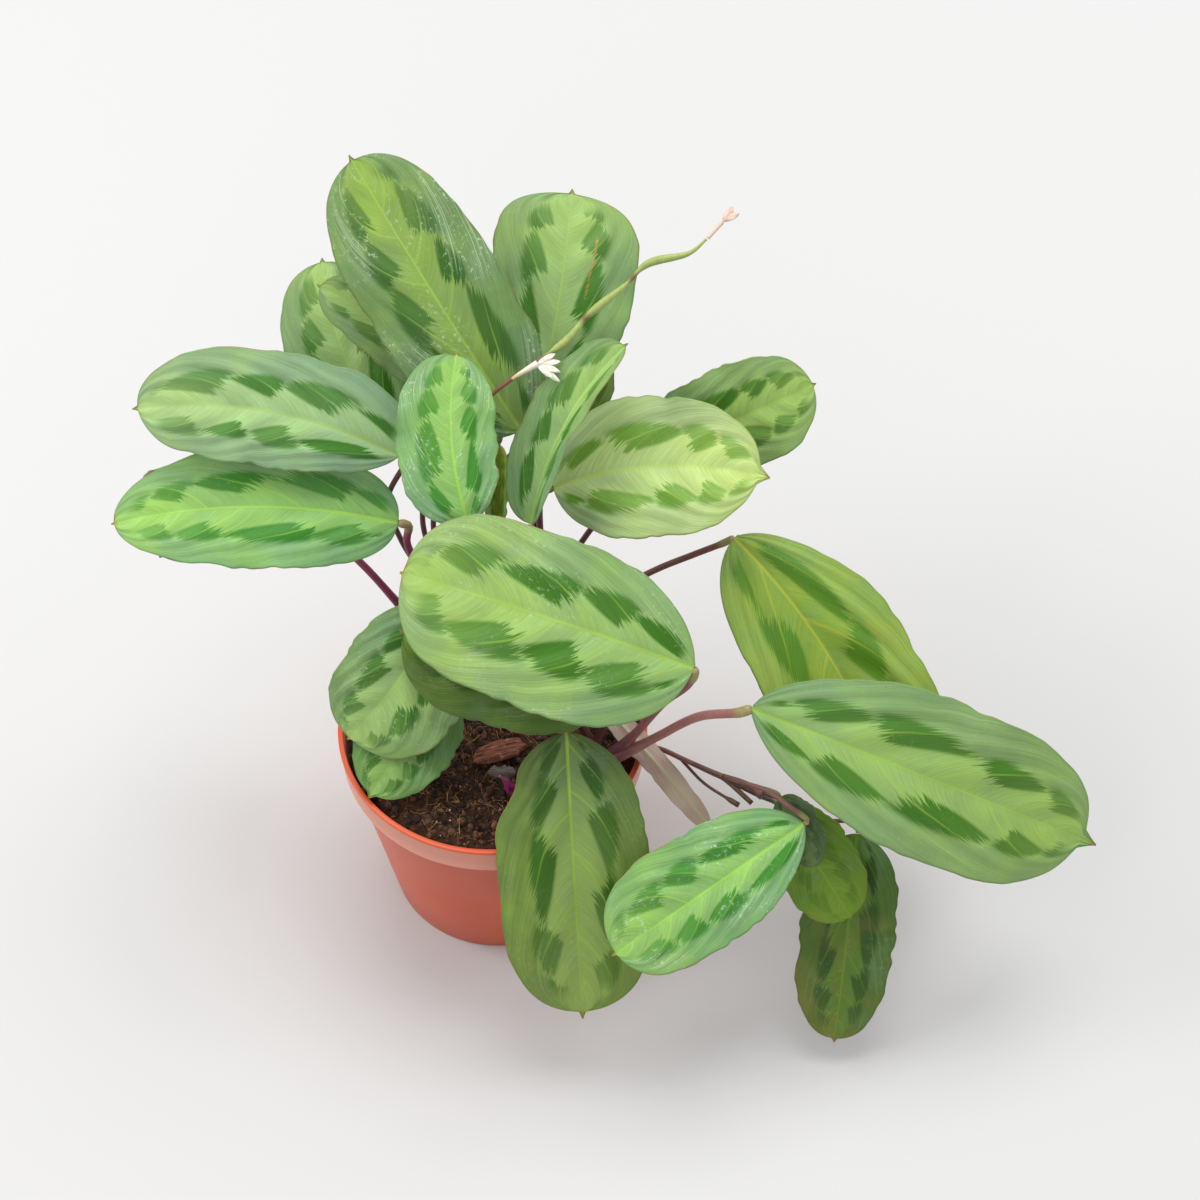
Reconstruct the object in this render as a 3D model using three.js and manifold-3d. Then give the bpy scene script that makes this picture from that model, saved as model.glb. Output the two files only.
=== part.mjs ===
// A prayer plant (maranta) in a plastic flower pot, in millimetres, +Z up.
// The origin is the centre of the pot's base, on the surface it stands on. The plant's show side
// faces -Y, and its leaves turn their faces to the light, which comes from above that side.

import * as THREE from 'three';
import { mergeVertices } from 'three/addons/utils/BufferGeometryUtils.js';
import Module from 'manifold-3d';

const wasm = await Module();
wasm.setup();

// Driving dimensions of the pot.
const potHeight = 95;
const rimRadius = 60;
const baseRadius = 43;
const wallThickness = 1.5;
const collarHeight = 13.5;
const collarStep = 2.2;
const rimBand = 1.6;
const floorThickness = 1.8;
const footWidth = 4;
const footLift = 1.6;
const bossRadius = 9;
const drainRadius = 4;
const drainCircle = 26;
const drainCount = 6;
const potSides = 40;

// Driving dimensions of the soil and the plant.
const gap = 0.35;
const soilLevel = 89;
const soilMound = 2.5;
const bladeThickness = 0.9;
const stemSides = 6;
const stemStep = 8;
const light = new THREE.Vector3(0, -0.6, 0.8);
const crowns = {
  centre: { x: 0, y: 28, radius: 9, foot: 76, top: 99 },
  right: { x: 42, y: -15, radius: 5.5, foot: 80, top: 97 },
};

// Each leaf is given by where its blade starts and ends and how it is shaped, in millimetres and
// degrees: arch lifts the midrib, bend takes it sideways, peak is where along the blade it does so,
// fold raises both halves, droop lowers the edges, roll turns the face away from the light.
const leafDefaults = {
  arch: 4, bend: 0, peak: 0.5, fold: 8, droop: 0.12, roll: 0, full: 2.9, shift: 1, lean: 0,
  side: 0, drip: 0.02, wave: 0.8, steps: 10, across: 6, tone: 'mid',
};
const leaves = {
  leaf_back_tall: { base: [12, 70, 187], tip: [-52, 142, 260], width: 54, arch: 7, roll: 8, full: 3.1 },
  leaf_back_right: {
    base: [16, 83, 175], tip: [31, 152, 233], width: 58, arch: 6, bend: 1, roll: -10, shift: 1.9, full: 3.2,
  },
  leaf_back_left: { base: [-36, 82, 162], tip: [-66, 141, 207], width: 47, arch: 5, bend: -5, roll: 12 },
  leaf_back_mid: { base: [1, 79, 177], tip: [-66, 118, 216], width: 29, bend: 5, fold: 16 },
  leaf_left_upper: {
    base: [-34, 59, 185], tip: [-133, 69, 200], width: 45, arch: 8, bend: 9, roll: 10, side: 0.06,
    lean: -0.2, full: 2.8,
  },
  leaf_left_lower: {
    base: [-35, 46, 161], tip: [-143, 43, 164], width: 48, arch: 9, bend: 5, roll: -6, full: 2.05,
    shift: 0.88, drip: 0.01, tone: 'fresh',
  },
  leaf_left_under: { base: [-109, 63, 169], tip: [-127, 42, 145], width: 42, roll: 200, tone: 'back' },
  leaf_centre_small: {
    base: [-7, 28, 183], tip: [-11, 74, 226], width: 38, arch: 3, bend: -4, side: -0.1, tone: 'fresh',
  },
  leaf_centre_fold: { base: [16, 34, 175], tip: [52, 79, 225], width: 34, fold: 38, roll: 38, bend: -5 },
  leaf_right_mid: {
    base: [24, 54, 172], tip: [105, 48, 185], width: 56, arch: 7, bend: -5, roll: 9, full: 2.3, drip: 0.05,
  },
  leaf_right_hidden: {
    base: [21, 59, 169], tip: [44, 96, 200], width: 20, arch: 2, steps: 8, across: 4, tone: 'dark',
  },
  leaf_right_upper: { base: [61, 76, 167], tip: [124, 92, 189], width: 43, arch: 6, roll: -12 },
  leaf_centre_big: {
    base: [76, -19, 156], tip: [-32, 11, 175], width: 66, arch: 8, bend: 1, full: 3.2, shift: 1.15,
    lean: 0.1, side: -0.06, drip: 0.01,
  },
  leaf_centre_under: { base: [46, -14, 139], tip: [-33, 2, 152], width: 54, arch: 5, tone: 'dark' },
  leaf_left_front: {
    base: [-18, 11, 152], tip: [-54, -21, 114], width: 50, arch: 6, bend: -2, roll: 8, side: -0.1,
  },
  leaf_left_front_under: {
    base: [-19, 0, 118], tip: [-46, -37, 98], width: 38, arch: 3, full: 2.2, shift: 0.9, drip: 0.04,
  },
  leaf_front_hang: {
    base: [29, -28, 129], tip: [35, -95, 33], width: 58, peak: 0.3, arch: 8, shift: 1.35, full: 3.5,
    tone: 'olive',
  },
  leaf_front_right: {
    base: [118, -50, 100], tip: [46, -93, 76], width: 46, arch: 5, bend: 1, shift: 1.3, roll: 6,
    side: 0.06, tone: 'fresh',
  },
  leaf_right_large: {
    base: [98, -22, 135], tip: [230, -49, 84], width: 63, arch: 10, bend: -2, roll: -10, shift: 1.28,
    lean: 0.06, full: 2.7, drip: 0.05,
  },
  leaf_right_yellow: {
    base: [93, 47, 151], tip: [160, -27, 58], width: 63, arch: 7, bend: -8, roll: 10, shift: 1.2,
    lean: -0.14, side: -0.02, tone: 'yellow',
  },
  leaf_branch_dark: {
    base: [110, -36, 97], tip: [122, -61, 86], width: 17, arch: 2, bend: -2, steps: 8, across: 4,
    tone: 'dark',
  },
  leaf_branch_yellow: { base: [111, -36, 88], tip: [138, -67, 60], width: 32, arch: 3, tone: 'yellow' },
  leaf_branch_low: { base: [141, -36, 72], tip: [133, -93, 11], width: 38, arch: 5, tone: 'dark' },
  leaf_right_strip: {
    base: [41, 2.2, 106.8], tip: [84, -42.8, 84.8], width: 10.5, arch: -4, roll: 192, full: 4, tone: 'back',
  },
  leaf_young: {
    base: [2, 52, 152], tip: [4, 66, 184], width: 13, arch: 1, fold: 45, wave: 0, steps: 8, across: 4,
    tone: 'yellow',
  },
};

// A leafy branch leaves the right crown, low over the pot's rim.
const branchStart = [[47, -12, 95], [53, -11, 97.2], [60, -12.5, 97.6], [66, -14.5, 97.5]];

// Each leaf stalk rises from its crown, passes the points given, and ends in a knee in line with its
// blade, or in the direction arrive, that far short of the blade as rest says. Points and radii are in
// millimetres.
const leafStalks = {
  centre: [
    { leaf: 'leaf_back_tall', radius: 1.2, knee: 5, by: [[-2, 44, 123], [0, 58, 148], [6, 67, 173]] },
    { leaf: 'leaf_back_right', radius: 1.1, knee: 5, by: [[2, 46, 113], [2, 65, 141], [9, 74, 153]] },
    { leaf: 'leaf_back_left', radius: 1.1, knee: 4, by: [[-15, 41, 108], [-27, 63, 136], [-28, 72, 146]] },
    { leaf: 'leaf_back_mid', radius: 1.1, knee: 4, by: [[-10, 39, 110], [-23, 62, 143], [-14, 69, 159]] },
    { leaf: 'leaf_left_upper', radius: 1.1, knee: 3, by: [[-17, 39, 116], [-35, 51, 145], [-39, 56, 164]] },
    { leaf: 'leaf_left_lower', radius: 1.5, knee: 4, by: [[-15, 34, 106], [-26, 41, 134], [-32, 44, 152]] },
    { leaf: 'leaf_left_under', radius: 1.5, knee: 5, by: [[-19, 31, 100], [-51, 47, 136], [-78, 65, 152]] },
    { leaf: 'leaf_centre_small', radius: 1.2, knee: 5, by: [[-3, 25, 115], [-4, 28, 161]] },
    { leaf: 'leaf_centre_fold', radius: 1.2, knee: 5, by: [[5, 28, 111], [12, 33, 149]] },
    { leaf: 'leaf_right_mid', radius: 1.3, knee: 5, by: [[6, 31, 104], [18, 45, 140]] },
    { leaf: 'leaf_right_hidden', radius: 1, knee: 5, by: [[4, 36, 100], [14, 50, 134]] },
    { leaf: 'leaf_right_upper', radius: 1.2, knee: 5, by: [[12, 39, 103], [36, 60, 136], [53, 72, 156]] },
    {
      leaf: 'leaf_right_yellow', radius: 1.3, knee: 5, arrive: [0.81, 0.04, 0.58], rest: 2.5,
      by: [[26, 40, 106], [61, 46, 131], [78, 47, 141]],
    },
    { leaf: 'leaf_young', radius: 1.1, knee: 3, by: [[1, 54, 129]] },
    { leaf: 'leaf_right_strip', radius: 1.2, knee: 4, by: [[12, 24, 99], [28, 12, 105]] },
    { leaf: 'leaf_left_front', radius: 1.2, knee: 4, by: [[-7, 25, 108], [-12, 18, 141]] },
    { leaf: 'leaf_left_front_under', radius: 1.1, knee: 4, by: [[-9, 19, 103], [-15, 5, 117]] },
  ],
  right: [
    {
      leaf: 'leaf_centre_big', radius: 1.6, knee: 3, arrive: [-0.1, 0, 1], rest: 2,
      by: [[46, -17.5, 99], [50, -18.5, 106], [56, -17, 114], [65, -14, 127], [74, -19, 146]],
    },
    {
      leaf: 'leaf_centre_under', radius: 1.3, knee: 4,
      by: [[40, -15, 102], [46, -13, 120], [50, -13.5, 131]],
    },
    { leaf: 'leaf_front_hang', radius: 1.5, knee: 4, by: [[38, -14, 103], [32, -16, 122]] },
    {
      leaf: 'leaf_right_large', radius: 1.75, knee: 5, arrive: [0.88, 0, 0.47], rest: 1.5,
      by: [[47, -19, 99], [52, -20, 104.5], [58, -19, 108], [64, -18, 112], [79, -19, 126]],
    },
    {
      leaf: 'leaf_front_right', radius: 1.8, knee: 2, sheath: 0.1,
      by: [...branchStart, [74, -23, 103], [88, -31, 104], [105, -39, 105], [113, -46, 105]],
    },
    {
      leaf: 'leaf_branch_dark', radius: 1.3, knee: 2, sheath: 0.1,
      by: [...branchStart, [74, -23, 103], [88, -31, 104]],
    },
    {
      leaf: 'leaf_branch_yellow', radius: 1.3, knee: 3, sheath: 0.1,
      by: [...branchStart, [74, -22, 102], [88, -31, 103], [102, -36, 98]],
    },
    {
      leaf: 'leaf_branch_low', radius: 1.3, knee: 4, sheath: 0.1,
      by: [...branchStart, [74, -22, 101.5], [88, -29, 100], [106, -29, 88], [126, -32, 76]],
    },
  ],
};

// Bare twigs of the branch that have lost their leaves.
const twigs = [
  {
    radius: 0.6, tipRadius: 1.1,
    route: [[71, -18.5, 100], [75, -23.5, 99.5], [81, -30, 98], [92, -38, 97], [94, -39.5, 97]],
  },
  { radius: 1, tipRadius: 1, route: [[84, -29, 103.5], [88, -31, 103], [99, -40, 99]] },
  { radius: 1.1, tipRadius: 2, route: [[88, -31, 104], [97, -35, 104.5], [103, -39.5, 103.5]] },
];

// The flower stalk: where it runs, and its green swellings, as distances along it.
const flowerStalk = {
  radius: 0.85,
  route: [
    [-5.5, 39.5, 84.5], [-5.5, 39.5, 96], [-6, 40.5, 110], [-9, 41, 130], [-13, 44, 165],
    [-10, 59, 194], [0, 68, 207], [16, 78, 214], [29, 85, 220], [37, 92, 226], [51, 101, 233],
    [59, 106, 239], [75, 108, 243], [81, 112, 246],
  ],
  swellings: [{ from: 0.69, to: 0.76 }, { from: 0.77, to: 0.85 }, { from: 0.88, to: 0.97 }],
  swell: 0.75,
};

const tones = {
  mid: 0x7fae66,
  fresh: 0x86c06a,
  yellow: 0x8aa838,
  olive: 0x769a55,
  dark: 0x3f7337,
  back: 0xa79a90,
  stem: 0x6f4440,
  flowerStem: 0x8f9a58,
  flower: 0xf1ece4,
  faded: 0xe3cfc4,
  shoot: 0x7c3b68,
  pot: 0xc4694a,
  soil: 0x4a3226,
  bark: 0x70473a,
  dry: 0x8d7f78,
};

const group = new THREE.Group();

function addMesh(name, geometry, color, roughness) {
  const material = new THREE.MeshStandardMaterial({ color, roughness, metalness: 0 });
  const mesh = new THREE.Mesh(geometry, material);
  mesh.name = name;
  group.add(mesh);
}

function vectorOf([x, y, z]) {
  return new THREE.Vector3(x, y, z);
}

function geometryFrom(positions, triangles) {
  const geometry = new THREE.BufferGeometry();
  geometry.setAttribute('position', new THREE.Float32BufferAttribute(positions, 3));
  geometry.setIndex(triangles);
  return geometry;
}

// Joins and cuts work on closed meshes whose shared corners are one.
function solidOf(geometry) {
  const bare = geometry.clone();
  bare.deleteAttribute('normal');
  bare.deleteAttribute('uv');
  const merged = mergeVertices(bare, 1e-3);
  const vertProperties = new Float32Array(merged.attributes.position.array);
  const triVerts = new Uint32Array(merged.index.array);
  return new wasm.Manifold(new wasm.Mesh({ numProp: 3, vertProperties, triVerts }));
}

function geometryOf(solid) {
  const mesh = solid.getMesh();
  return geometryFrom(mesh.vertProperties, Array.from(mesh.triVerts));
}

function smoothStep(from, to, value) {
  const x = THREE.MathUtils.clamp((value - from) / (to - from), 0, 1);
  return x * x * (3 - 2 * x);
}

// A leaf's own directions: its face normal, its side, and the point that its midrib bends towards.
function leafFrame(leaf) {
  const base = vectorOf(leaf.base);
  const tip = vectorOf(leaf.tip);
  const chord = tip.clone().sub(base);
  const along = chord.clone().normalize();
  const face = light.clone().addScaledVector(along, -light.dot(along)).normalize();
  face.applyAxisAngle(along, -THREE.MathUtils.degToRad(leaf.roll));
  const side = along.clone().cross(face);
  const pull = base.clone().addScaledVector(chord, leaf.peak);
  pull.addScaledVector(face, 2 * leaf.arch);
  pull.addScaledVector(side, 2 * leaf.bend);
  return { base, tip, face, pull };
}

// Half the blade's width at s: a full oval closed by a short drip tip, wider on one side by `side`.
function halfWidth(leaf, s, half) {
  const tipLength = 0.09;
  const tipWidth = 0.26;
  const stalkWidth = 0.05;
  const oval = Math.min(s / (1 - leaf.drip), 1) ** (leaf.shift * (1 + leaf.lean * half));
  const body = Math.sqrt(Math.max(1 - Math.abs(2 * oval - 1) ** leaf.full, 0));
  const point = tipWidth * (Math.min(1 - s, tipLength) / tipLength) ** 1.25 + 0.012;
  const end = s < 0.5 ? stalkWidth : point;
  return (leaf.width / 2) * (body ** 4 + end ** 4) ** 0.25 * (1 + leaf.side * half);
}

// The blade is a grid of steps along the midrib by steps across it, on its upper and lower faces.
// Each row: the midrib is a quadratic curve, the halves rise by the fold and fall by the droop, and
// the edges wave. Both faces are split into triangles alike.
function bladeGeometry(leaf) {
  const { base, tip, face, pull } = leafFrame(leaf);
  const fold = THREE.MathUtils.degToRad(leaf.fold);
  const upper = [];
  const lower = [];
  for (let row = 0; row <= leaf.steps; row += 1) {
    const even = row / leaf.steps;
    const s = 0.5 * (even + 0.5 * (1 - Math.cos(Math.PI * even)));
    const middle = base.clone().multiplyScalar((1 - s) ** 2);
    middle.addScaledVector(pull, 2 * s * (1 - s)).addScaledVector(tip, s * s);
    const tangent = pull.clone().sub(base).multiplyScalar(1 - s);
    tangent.addScaledVector(tip.clone().sub(pull), s).normalize();
    const normal = face.clone().addScaledVector(tangent, -face.dot(tangent)).normalize();
    const side = tangent.clone().cross(normal);
    for (let column = 0; column <= leaf.across; column += 1) {
      const t = (2 * column) / leaf.across - 1;
      const half = halfWidth(leaf, s, Math.sign(t));
      const phase = t > 0 ? 0 : 1.7;
      const wave = leaf.wave * Math.abs(t) ** 2.5 * Math.sin(6 * Math.PI * s + phase) * Math.sin(Math.PI * s);
      const rise = half * (Math.abs(t) * Math.sin(fold) - leaf.droop * t * t) + wave;
      const point = middle.clone().addScaledVector(side, half * t * Math.cos(fold));
      point.addScaledVector(normal, rise);
      upper.push(point.clone().addScaledVector(normal, bladeThickness / 2));
      lower.push(point.clone().addScaledVector(normal, -bladeThickness / 2));
    }
  }
  return closedSheet(upper, lower, leaf.steps, leaf.across);
}

// Two grids of points, one face each, closed round their edge.
function closedSheet(upper, lower, rows, columns) {
  const at = (row, column) => row * (columns + 1) + column;
  const under = upper.length;
  const triangles = [];
  for (let row = 0; row < rows; row += 1) {
    for (let column = 0; column < columns; column += 1) {
      const a = at(row, column);
      const b = at(row, column + 1);
      const c = at(row + 1, column + 1);
      const d = at(row + 1, column);
      triangles.push(a, b, c, a, c, d);
      triangles.push(under + a, under + c, under + b, under + a, under + d, under + c);
    }
  }
  const edge = [];
  for (let column = 0; column < columns; column += 1) edge.push(at(0, column));
  for (let row = 0; row < rows; row += 1) edge.push(at(row, columns));
  for (let column = columns; column > 0; column -= 1) edge.push(at(rows, column));
  for (let row = rows; row > 0; row -= 1) edge.push(at(row, 0));
  edge.forEach((here, index) => {
    const next = edge[(index + 1) % edge.length];
    triangles.push(here, under + here, under + next, here, under + next, next);
  });
  const positions = [...upper, ...lower].flatMap((point) => point.toArray());
  return geometryFrom(positions, triangles);
}

// A round stem along a smooth curve, its radius a function of how far along it is, closed by caps.
function stemGeometry(route, radiusAt, sides = stemSides, step = stemStep) {
  const curve = new THREE.CatmullRomCurve3(route, false, 'centripetal');
  const steps = Math.max(3, Math.round(curve.getLength() / step));
  const frames = curve.computeFrenetFrames(steps, false);
  const positions = [];
  for (let ring = 0; ring <= steps; ring += 1) {
    const centre = curve.getPointAt(ring / steps);
    for (let corner = 0; corner < sides; corner += 1) {
      const angle = (2 * Math.PI * corner) / sides;
      const point = centre.clone();
      point.addScaledVector(frames.normals[ring], Math.cos(angle) * radiusAt(ring / steps));
      point.addScaledVector(frames.binormals[ring], Math.sin(angle) * radiusAt(ring / steps));
      positions.push(...point.toArray());
    }
  }
  const firstCap = positions.length / 3;
  positions.push(...curve.getPointAt(0).toArray(), ...curve.getPointAt(1).toArray());
  const triangles = [];
  for (let corner = 0; corner < sides; corner += 1) {
    const next = (corner + 1) % sides;
    for (let ring = 0; ring < steps; ring += 1) {
      const here = ring * sides;
      const above = here + sides;
      triangles.push(here + corner, here + next, above + next, here + corner, above + next, above + corner);
    }
    const last = steps * sides;
    triangles.push(firstCap, next, corner, firstCap + 1, last + corner, last + next);
  }
  return geometryFrom(positions, triangles);
}

// A leaf stalk: a sheath round its foot, a slim shaft, and a slightly thicker knee below the blade.
function leafStalkGeometry(crown, stalk) {
  const leaf = leaves[stalk.leaf];
  const { base, pull } = leafFrame({ ...leafDefaults, ...leaf });
  const inLine = pull.clone().sub(base).normalize();
  const first = vectorOf(stalk.by[0]);
  const outward = new THREE.Vector3(first.x - crown.x, first.y - crown.y, 0).normalize();
  const foot = new THREE.Vector3(crown.x, crown.y, crown.top - 6).addScaledVector(outward, crown.radius / 2);
  const arriving = stalk.arrive ? vectorOf(stalk.arrive).normalize() : inLine;
  const knee = base.clone().addScaledVector(arriving, -stalk.knee);
  const end = base.clone().addScaledVector(arriving, -(stalk.rest ?? gap));
  const route = [foot, ...stalk.by.map(vectorOf), knee, end];
  const radiusAt = (u) => {
    const sheath = (stalk.sheath ?? 0.6) * (1 - smoothStep(0.12, 0.4, u));
    return stalk.radius * (1 + sheath + 0.2 * smoothStep(0.88, 0.95, u));
  };
  return stemGeometry(route, radiusAt);
}

// A crown is the clump of old sheaths that a shoot's leaf stalks rise from, standing in the soil.
function crownGeometry(crown) {
  const { radius, foot, top } = crown;
  const profile = [[0, foot], [radius, foot], [radius, top - 6], [radius * 0.8, top - 2], [0, top]];
  const lathe = new THREE.LatheGeometry(profile.map(([r, z]) => new THREE.Vector2(r, z)), 14);
  lathe.rotateX(Math.PI / 2);
  lathe.translate(crown.x, crown.y, 0);
  return lathe;
}

function twigGeometry({ radius, tipRadius, route }) {
  return stemGeometry(route.map(vectorOf), (u) => radius + (tipRadius - radius) * smoothStep(0.8, 0.9, u));
}

function shootGeometry(name, extra) {
  const crown = crowns[name];
  let solid = solidOf(crownGeometry(crown));
  for (const stalk of leafStalks[name]) solid = solid.add(solidOf(leafStalkGeometry(crown, stalk)));
  for (const twig of extra) solid = solid.add(solidOf(twigGeometry(twig)));
  return geometryOf(solid.simplify(0.02));
}

// The soil's top: a low mound with lumps.
function soilHeight(x, y) {
  const distance = Math.hypot(x, y) / rimRadius;
  const lumps = 0.8 * Math.sin(x / 5.3 + 1) * Math.cos(y / 4.7) + 0.5 * Math.sin(x / 2.9 + y / 3.7);
  return soilLevel + soilMound * (1 - distance * distance) + lumps;
}

// Inner radius of the pot at a height: the tapering wall, then the wider collar above its step.
function innerRadius(z) {
  const collarFoot = potHeight - collarHeight;
  const taper = (rimRadius - collarStep - baseRadius) / collarFoot;
  const step = z > collarFoot ? collarStep : 0;
  return baseRadius + taper * Math.min(z, collarFoot) + step - wallThickness;
}

function potGeometry() {
  const collarFoot = potHeight - collarHeight;
  const underCollar = rimRadius - collarStep;
  const floorTop = footLift + floorThickness;
  const footInner = baseRadius - footWidth;
  const profile = [
    [0, 0],
    [bossRadius, 0],
    [bossRadius + 0.6, footLift],
    [footInner - 0.6, footLift],
    [footInner, 0],
    [baseRadius - 0.6, 0],
    [baseRadius, 0.8],
    [underCollar - 1.4, collarFoot - 0.8],
    [rimRadius - 1, collarFoot],
    [rimRadius - 0.4, potHeight - rimBand],
    [rimRadius, potHeight - rimBand + 0.4],
    [rimRadius, potHeight - 0.4],
    [rimRadius - 0.4, potHeight],
    [rimRadius - 1.7, potHeight],
    [rimRadius - 2.1, potHeight - 0.4],
    [rimRadius - 2.5, collarFoot + 1.4],
    [innerRadius(collarFoot) - 1.4, collarFoot - 1.2],
    [innerRadius(floorTop), floorTop + 1.2],
    [innerRadius(floorTop) - 1.2, floorTop],
    [0, floorTop],
  ];
  const lathe = new THREE.LatheGeometry(profile.map(([r, z]) => new THREE.Vector2(r, z)), potSides);
  lathe.rotateX(Math.PI / 2);
  let solid = solidOf(lathe);
  for (let index = 0; index < drainCount; index += 1) {
    const angle = (2 * Math.PI * (index + 0.5)) / drainCount;
    const hole = new THREE.CylinderGeometry(drainRadius, drainRadius, 3 * floorTop, 12);
    hole.rotateX(Math.PI / 2);
    hole.translate(drainCircle * Math.cos(angle), drainCircle * Math.sin(angle), floorTop);
    solid = solid.subtract(solidOf(hole));
  }
  return geometryOf(solid);
}

const youngShoot = { x: 7.5, y: -28.5, radius: 2.6, foot: 84 };
const flowerFoot = { x: -5.5, y: 39.5, radius: 0.9, foot: 84 };

// The soil fills the pot. Its rings run from the middle of the top out, down the wall and in again.
function soilGeometry() {
  const floor = footLift + floorThickness + gap;
  const collarFoot = potHeight - collarHeight;
  const topRings = [7, 14, 21, 28, 35, 42, 49, 54];
  const wallRings = [
    [rimRadius - 3.2, soilLevel - 1.5],
    [rimRadius - 3.4, collarFoot + 2.2],
    [innerRadius(collarFoot) - 1.4 - 2 * gap, collarFoot - 2],
    [innerRadius(floor) - 1.2 - gap, floor + 1.5],
    [innerRadius(floor) - 3, floor],
  ];
  const rings = [...topRings.map((r) => [r, null]), ...wallRings];
  const positions = [0, 0, soilHeight(0, 0)];
  for (const [radius, z] of rings) {
    for (let index = 0; index < potSides; index += 1) {
      const angle = (2 * Math.PI * index) / potSides;
      const x = radius * Math.cos(angle);
      const y = radius * Math.sin(angle);
      positions.push(x, y, z ?? soilHeight(x, y));
    }
  }
  const last = positions.length / 3;
  positions.push(0, 0, floor);
  const triangles = [];
  for (let index = 0; index < potSides; index += 1) {
    const next = (index + 1) % potSides;
    triangles.push(0, 1 + index, 1 + next);
    for (let ring = 0; ring < rings.length - 1; ring += 1) {
      const here = 1 + ring * potSides;
      const outer = here + potSides;
      triangles.push(here + index, outer + index, outer + next, here + index, outer + next, here + next);
    }
    const inner = last - potSides;
    triangles.push(last, inner + next, inner + index);
  }
  let solid = solidOf(geometryFrom(positions, triangles));
  for (const { x, y, radius, foot } of [...Object.values(crowns), youngShoot, flowerFoot]) {
    const depth = potHeight + 5 - foot;
    const hole = new THREE.CylinderGeometry(radius + 2 * gap, radius + 2 * gap, depth, 16);
    hole.rotateX(Math.PI / 2);
    hole.translate(x, y, foot - gap + depth / 2);
    solid = solid.subtract(solidOf(hole));
  }
  return geometryOf(solid);
}

// A young shoot: a pointed, slightly bent roll of sheaths.
function youngShootGeometry() {
  const { x, y, radius, foot } = youngShoot;
  const route = [[x, y, foot], [x, y, 91], [x - 1.5, y - 0.5, 97], [x - 4, y - 1, 102]].map(vectorOf);
  return stemGeometry(route, (u) => radius * (1 - 0.85 * smoothStep(0.35, 1, u)), 8, 2.5);
}

// A chip of bark: an irregular flat block with worn edges, lying on the soil.
function barkGeometry() {
  const outline = [[-11, -2], [-5, -4.5], [6, -4], [11, -1], [9, 3.5], [0, 4.5], [-8, 3]];
  const shape = new THREE.Shape(outline.map(([x, y]) => new THREE.Vector2(x, y)));
  const options = { depth: 2.2, bevelThickness: 0.9, bevelSize: 0.9, bevelSegments: 1, steps: 1 };
  const chip = new THREE.ExtrudeGeometry(shape, options);
  chip.rotateX(0.08);
  chip.rotateZ(0.3);
  const place = { x: 2.5, y: -13 };
  chip.translate(place.x, place.y, highestSoil(place, 10) + gap + 1.2);
  return chip;
}

function highestSoil({ x, y }, reach) {
  let highest = 0;
  for (let dx = -reach; dx <= reach; dx += 1) {
    for (let dy = -reach / 2; dy <= reach / 2; dy += 1) {
      highest = Math.max(highest, soilHeight(x + dx, y + dy));
    }
  }
  return highest;
}

// A dry old sheath, a small curled skin lying by the young shoot.
function drySheathGeometry() {
  const resting = highestSoil({ x: 4, y: -23 }, 8) + gap;
  const sheath = {
    ...leafDefaults, base: [9.5, -23.5, resting + 3.1], tip: [-1.5, -23, resting + 3.1], width: 7, fold: -32,
    arch: 0.5, droop: 0, wave: 0.4, steps: 6, across: 4, full: 2.4,
  };
  return bladeGeometry(sheath);
}

// The flower stalk stands beside the leaf stalks, with three green swellings near its end.
function flowerStalkGeometry() {
  const { radius, route, swellings, swell } = flowerStalk;
  const radiusAt = (u) => {
    const thin = 1 - 0.4 * smoothStep(0.96, 1, u);
    const bulge = swellings.map(({ from, to }) => Math.max(0, Math.sin((Math.PI * (u - from)) / (to - from)))
      * (u > from && u < to ? 1 : 0));
    return radius * thin + swell * Math.max(...bulge);
  };
  return stemGeometry(route.map(vectorOf), radiusAt, 6, 5);
}

// One petal or lobe: a small pointed blade.
function petalSolid(base, tip, width, droop) {
  const petal = {
    ...leafDefaults, base, tip, width, droop, arch: 0.6, fold: 4, wave: 0, steps: 5, across: 2, full: 2.2,
  };
  return solidOf(bladeGeometry(petal));
}

function openFlowerGeometry() {
  const tube = [[9.1, 72.8, 212.55], [12.5, 73, 215.5], [18.5, 75, 218.5]].map(vectorOf);
  const centre = [18, 74.8, 218.2];
  const tips = [[25, 77.5, 221], [27, 75.5, 219], [27, 72.4, 216.8], [26.8, 69.6, 214.5], [24, 70, 216.5]];
  let solid = solidOf(stemGeometry(tube, (u) => 0.7 + 0.9 * u, 6, 2));
  for (const tip of tips) solid = solid.add(petalSolid(centre, tip, 3, 0.1));
  return geometryOf(solid);
}

function fadedFlowerGeometry() {
  const start = [81.5, 112.3, 246.3];
  const neck = [87, 117, 250];
  const tips = [[91, 121, 254], [93, 119, 252.5], [89.5, 121.5, 252]];
  const tube = [start, [84, 114.5, 248], neck].map(vectorOf);
  let solid = solidOf(stemGeometry(tube, (u) => 0.5 + 0.9 * u, 6, 2));
  for (const tip of tips) solid = solid.add(petalSolid(neck, tip, 2.6, 0.3));
  return geometryOf(solid);
}

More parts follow.
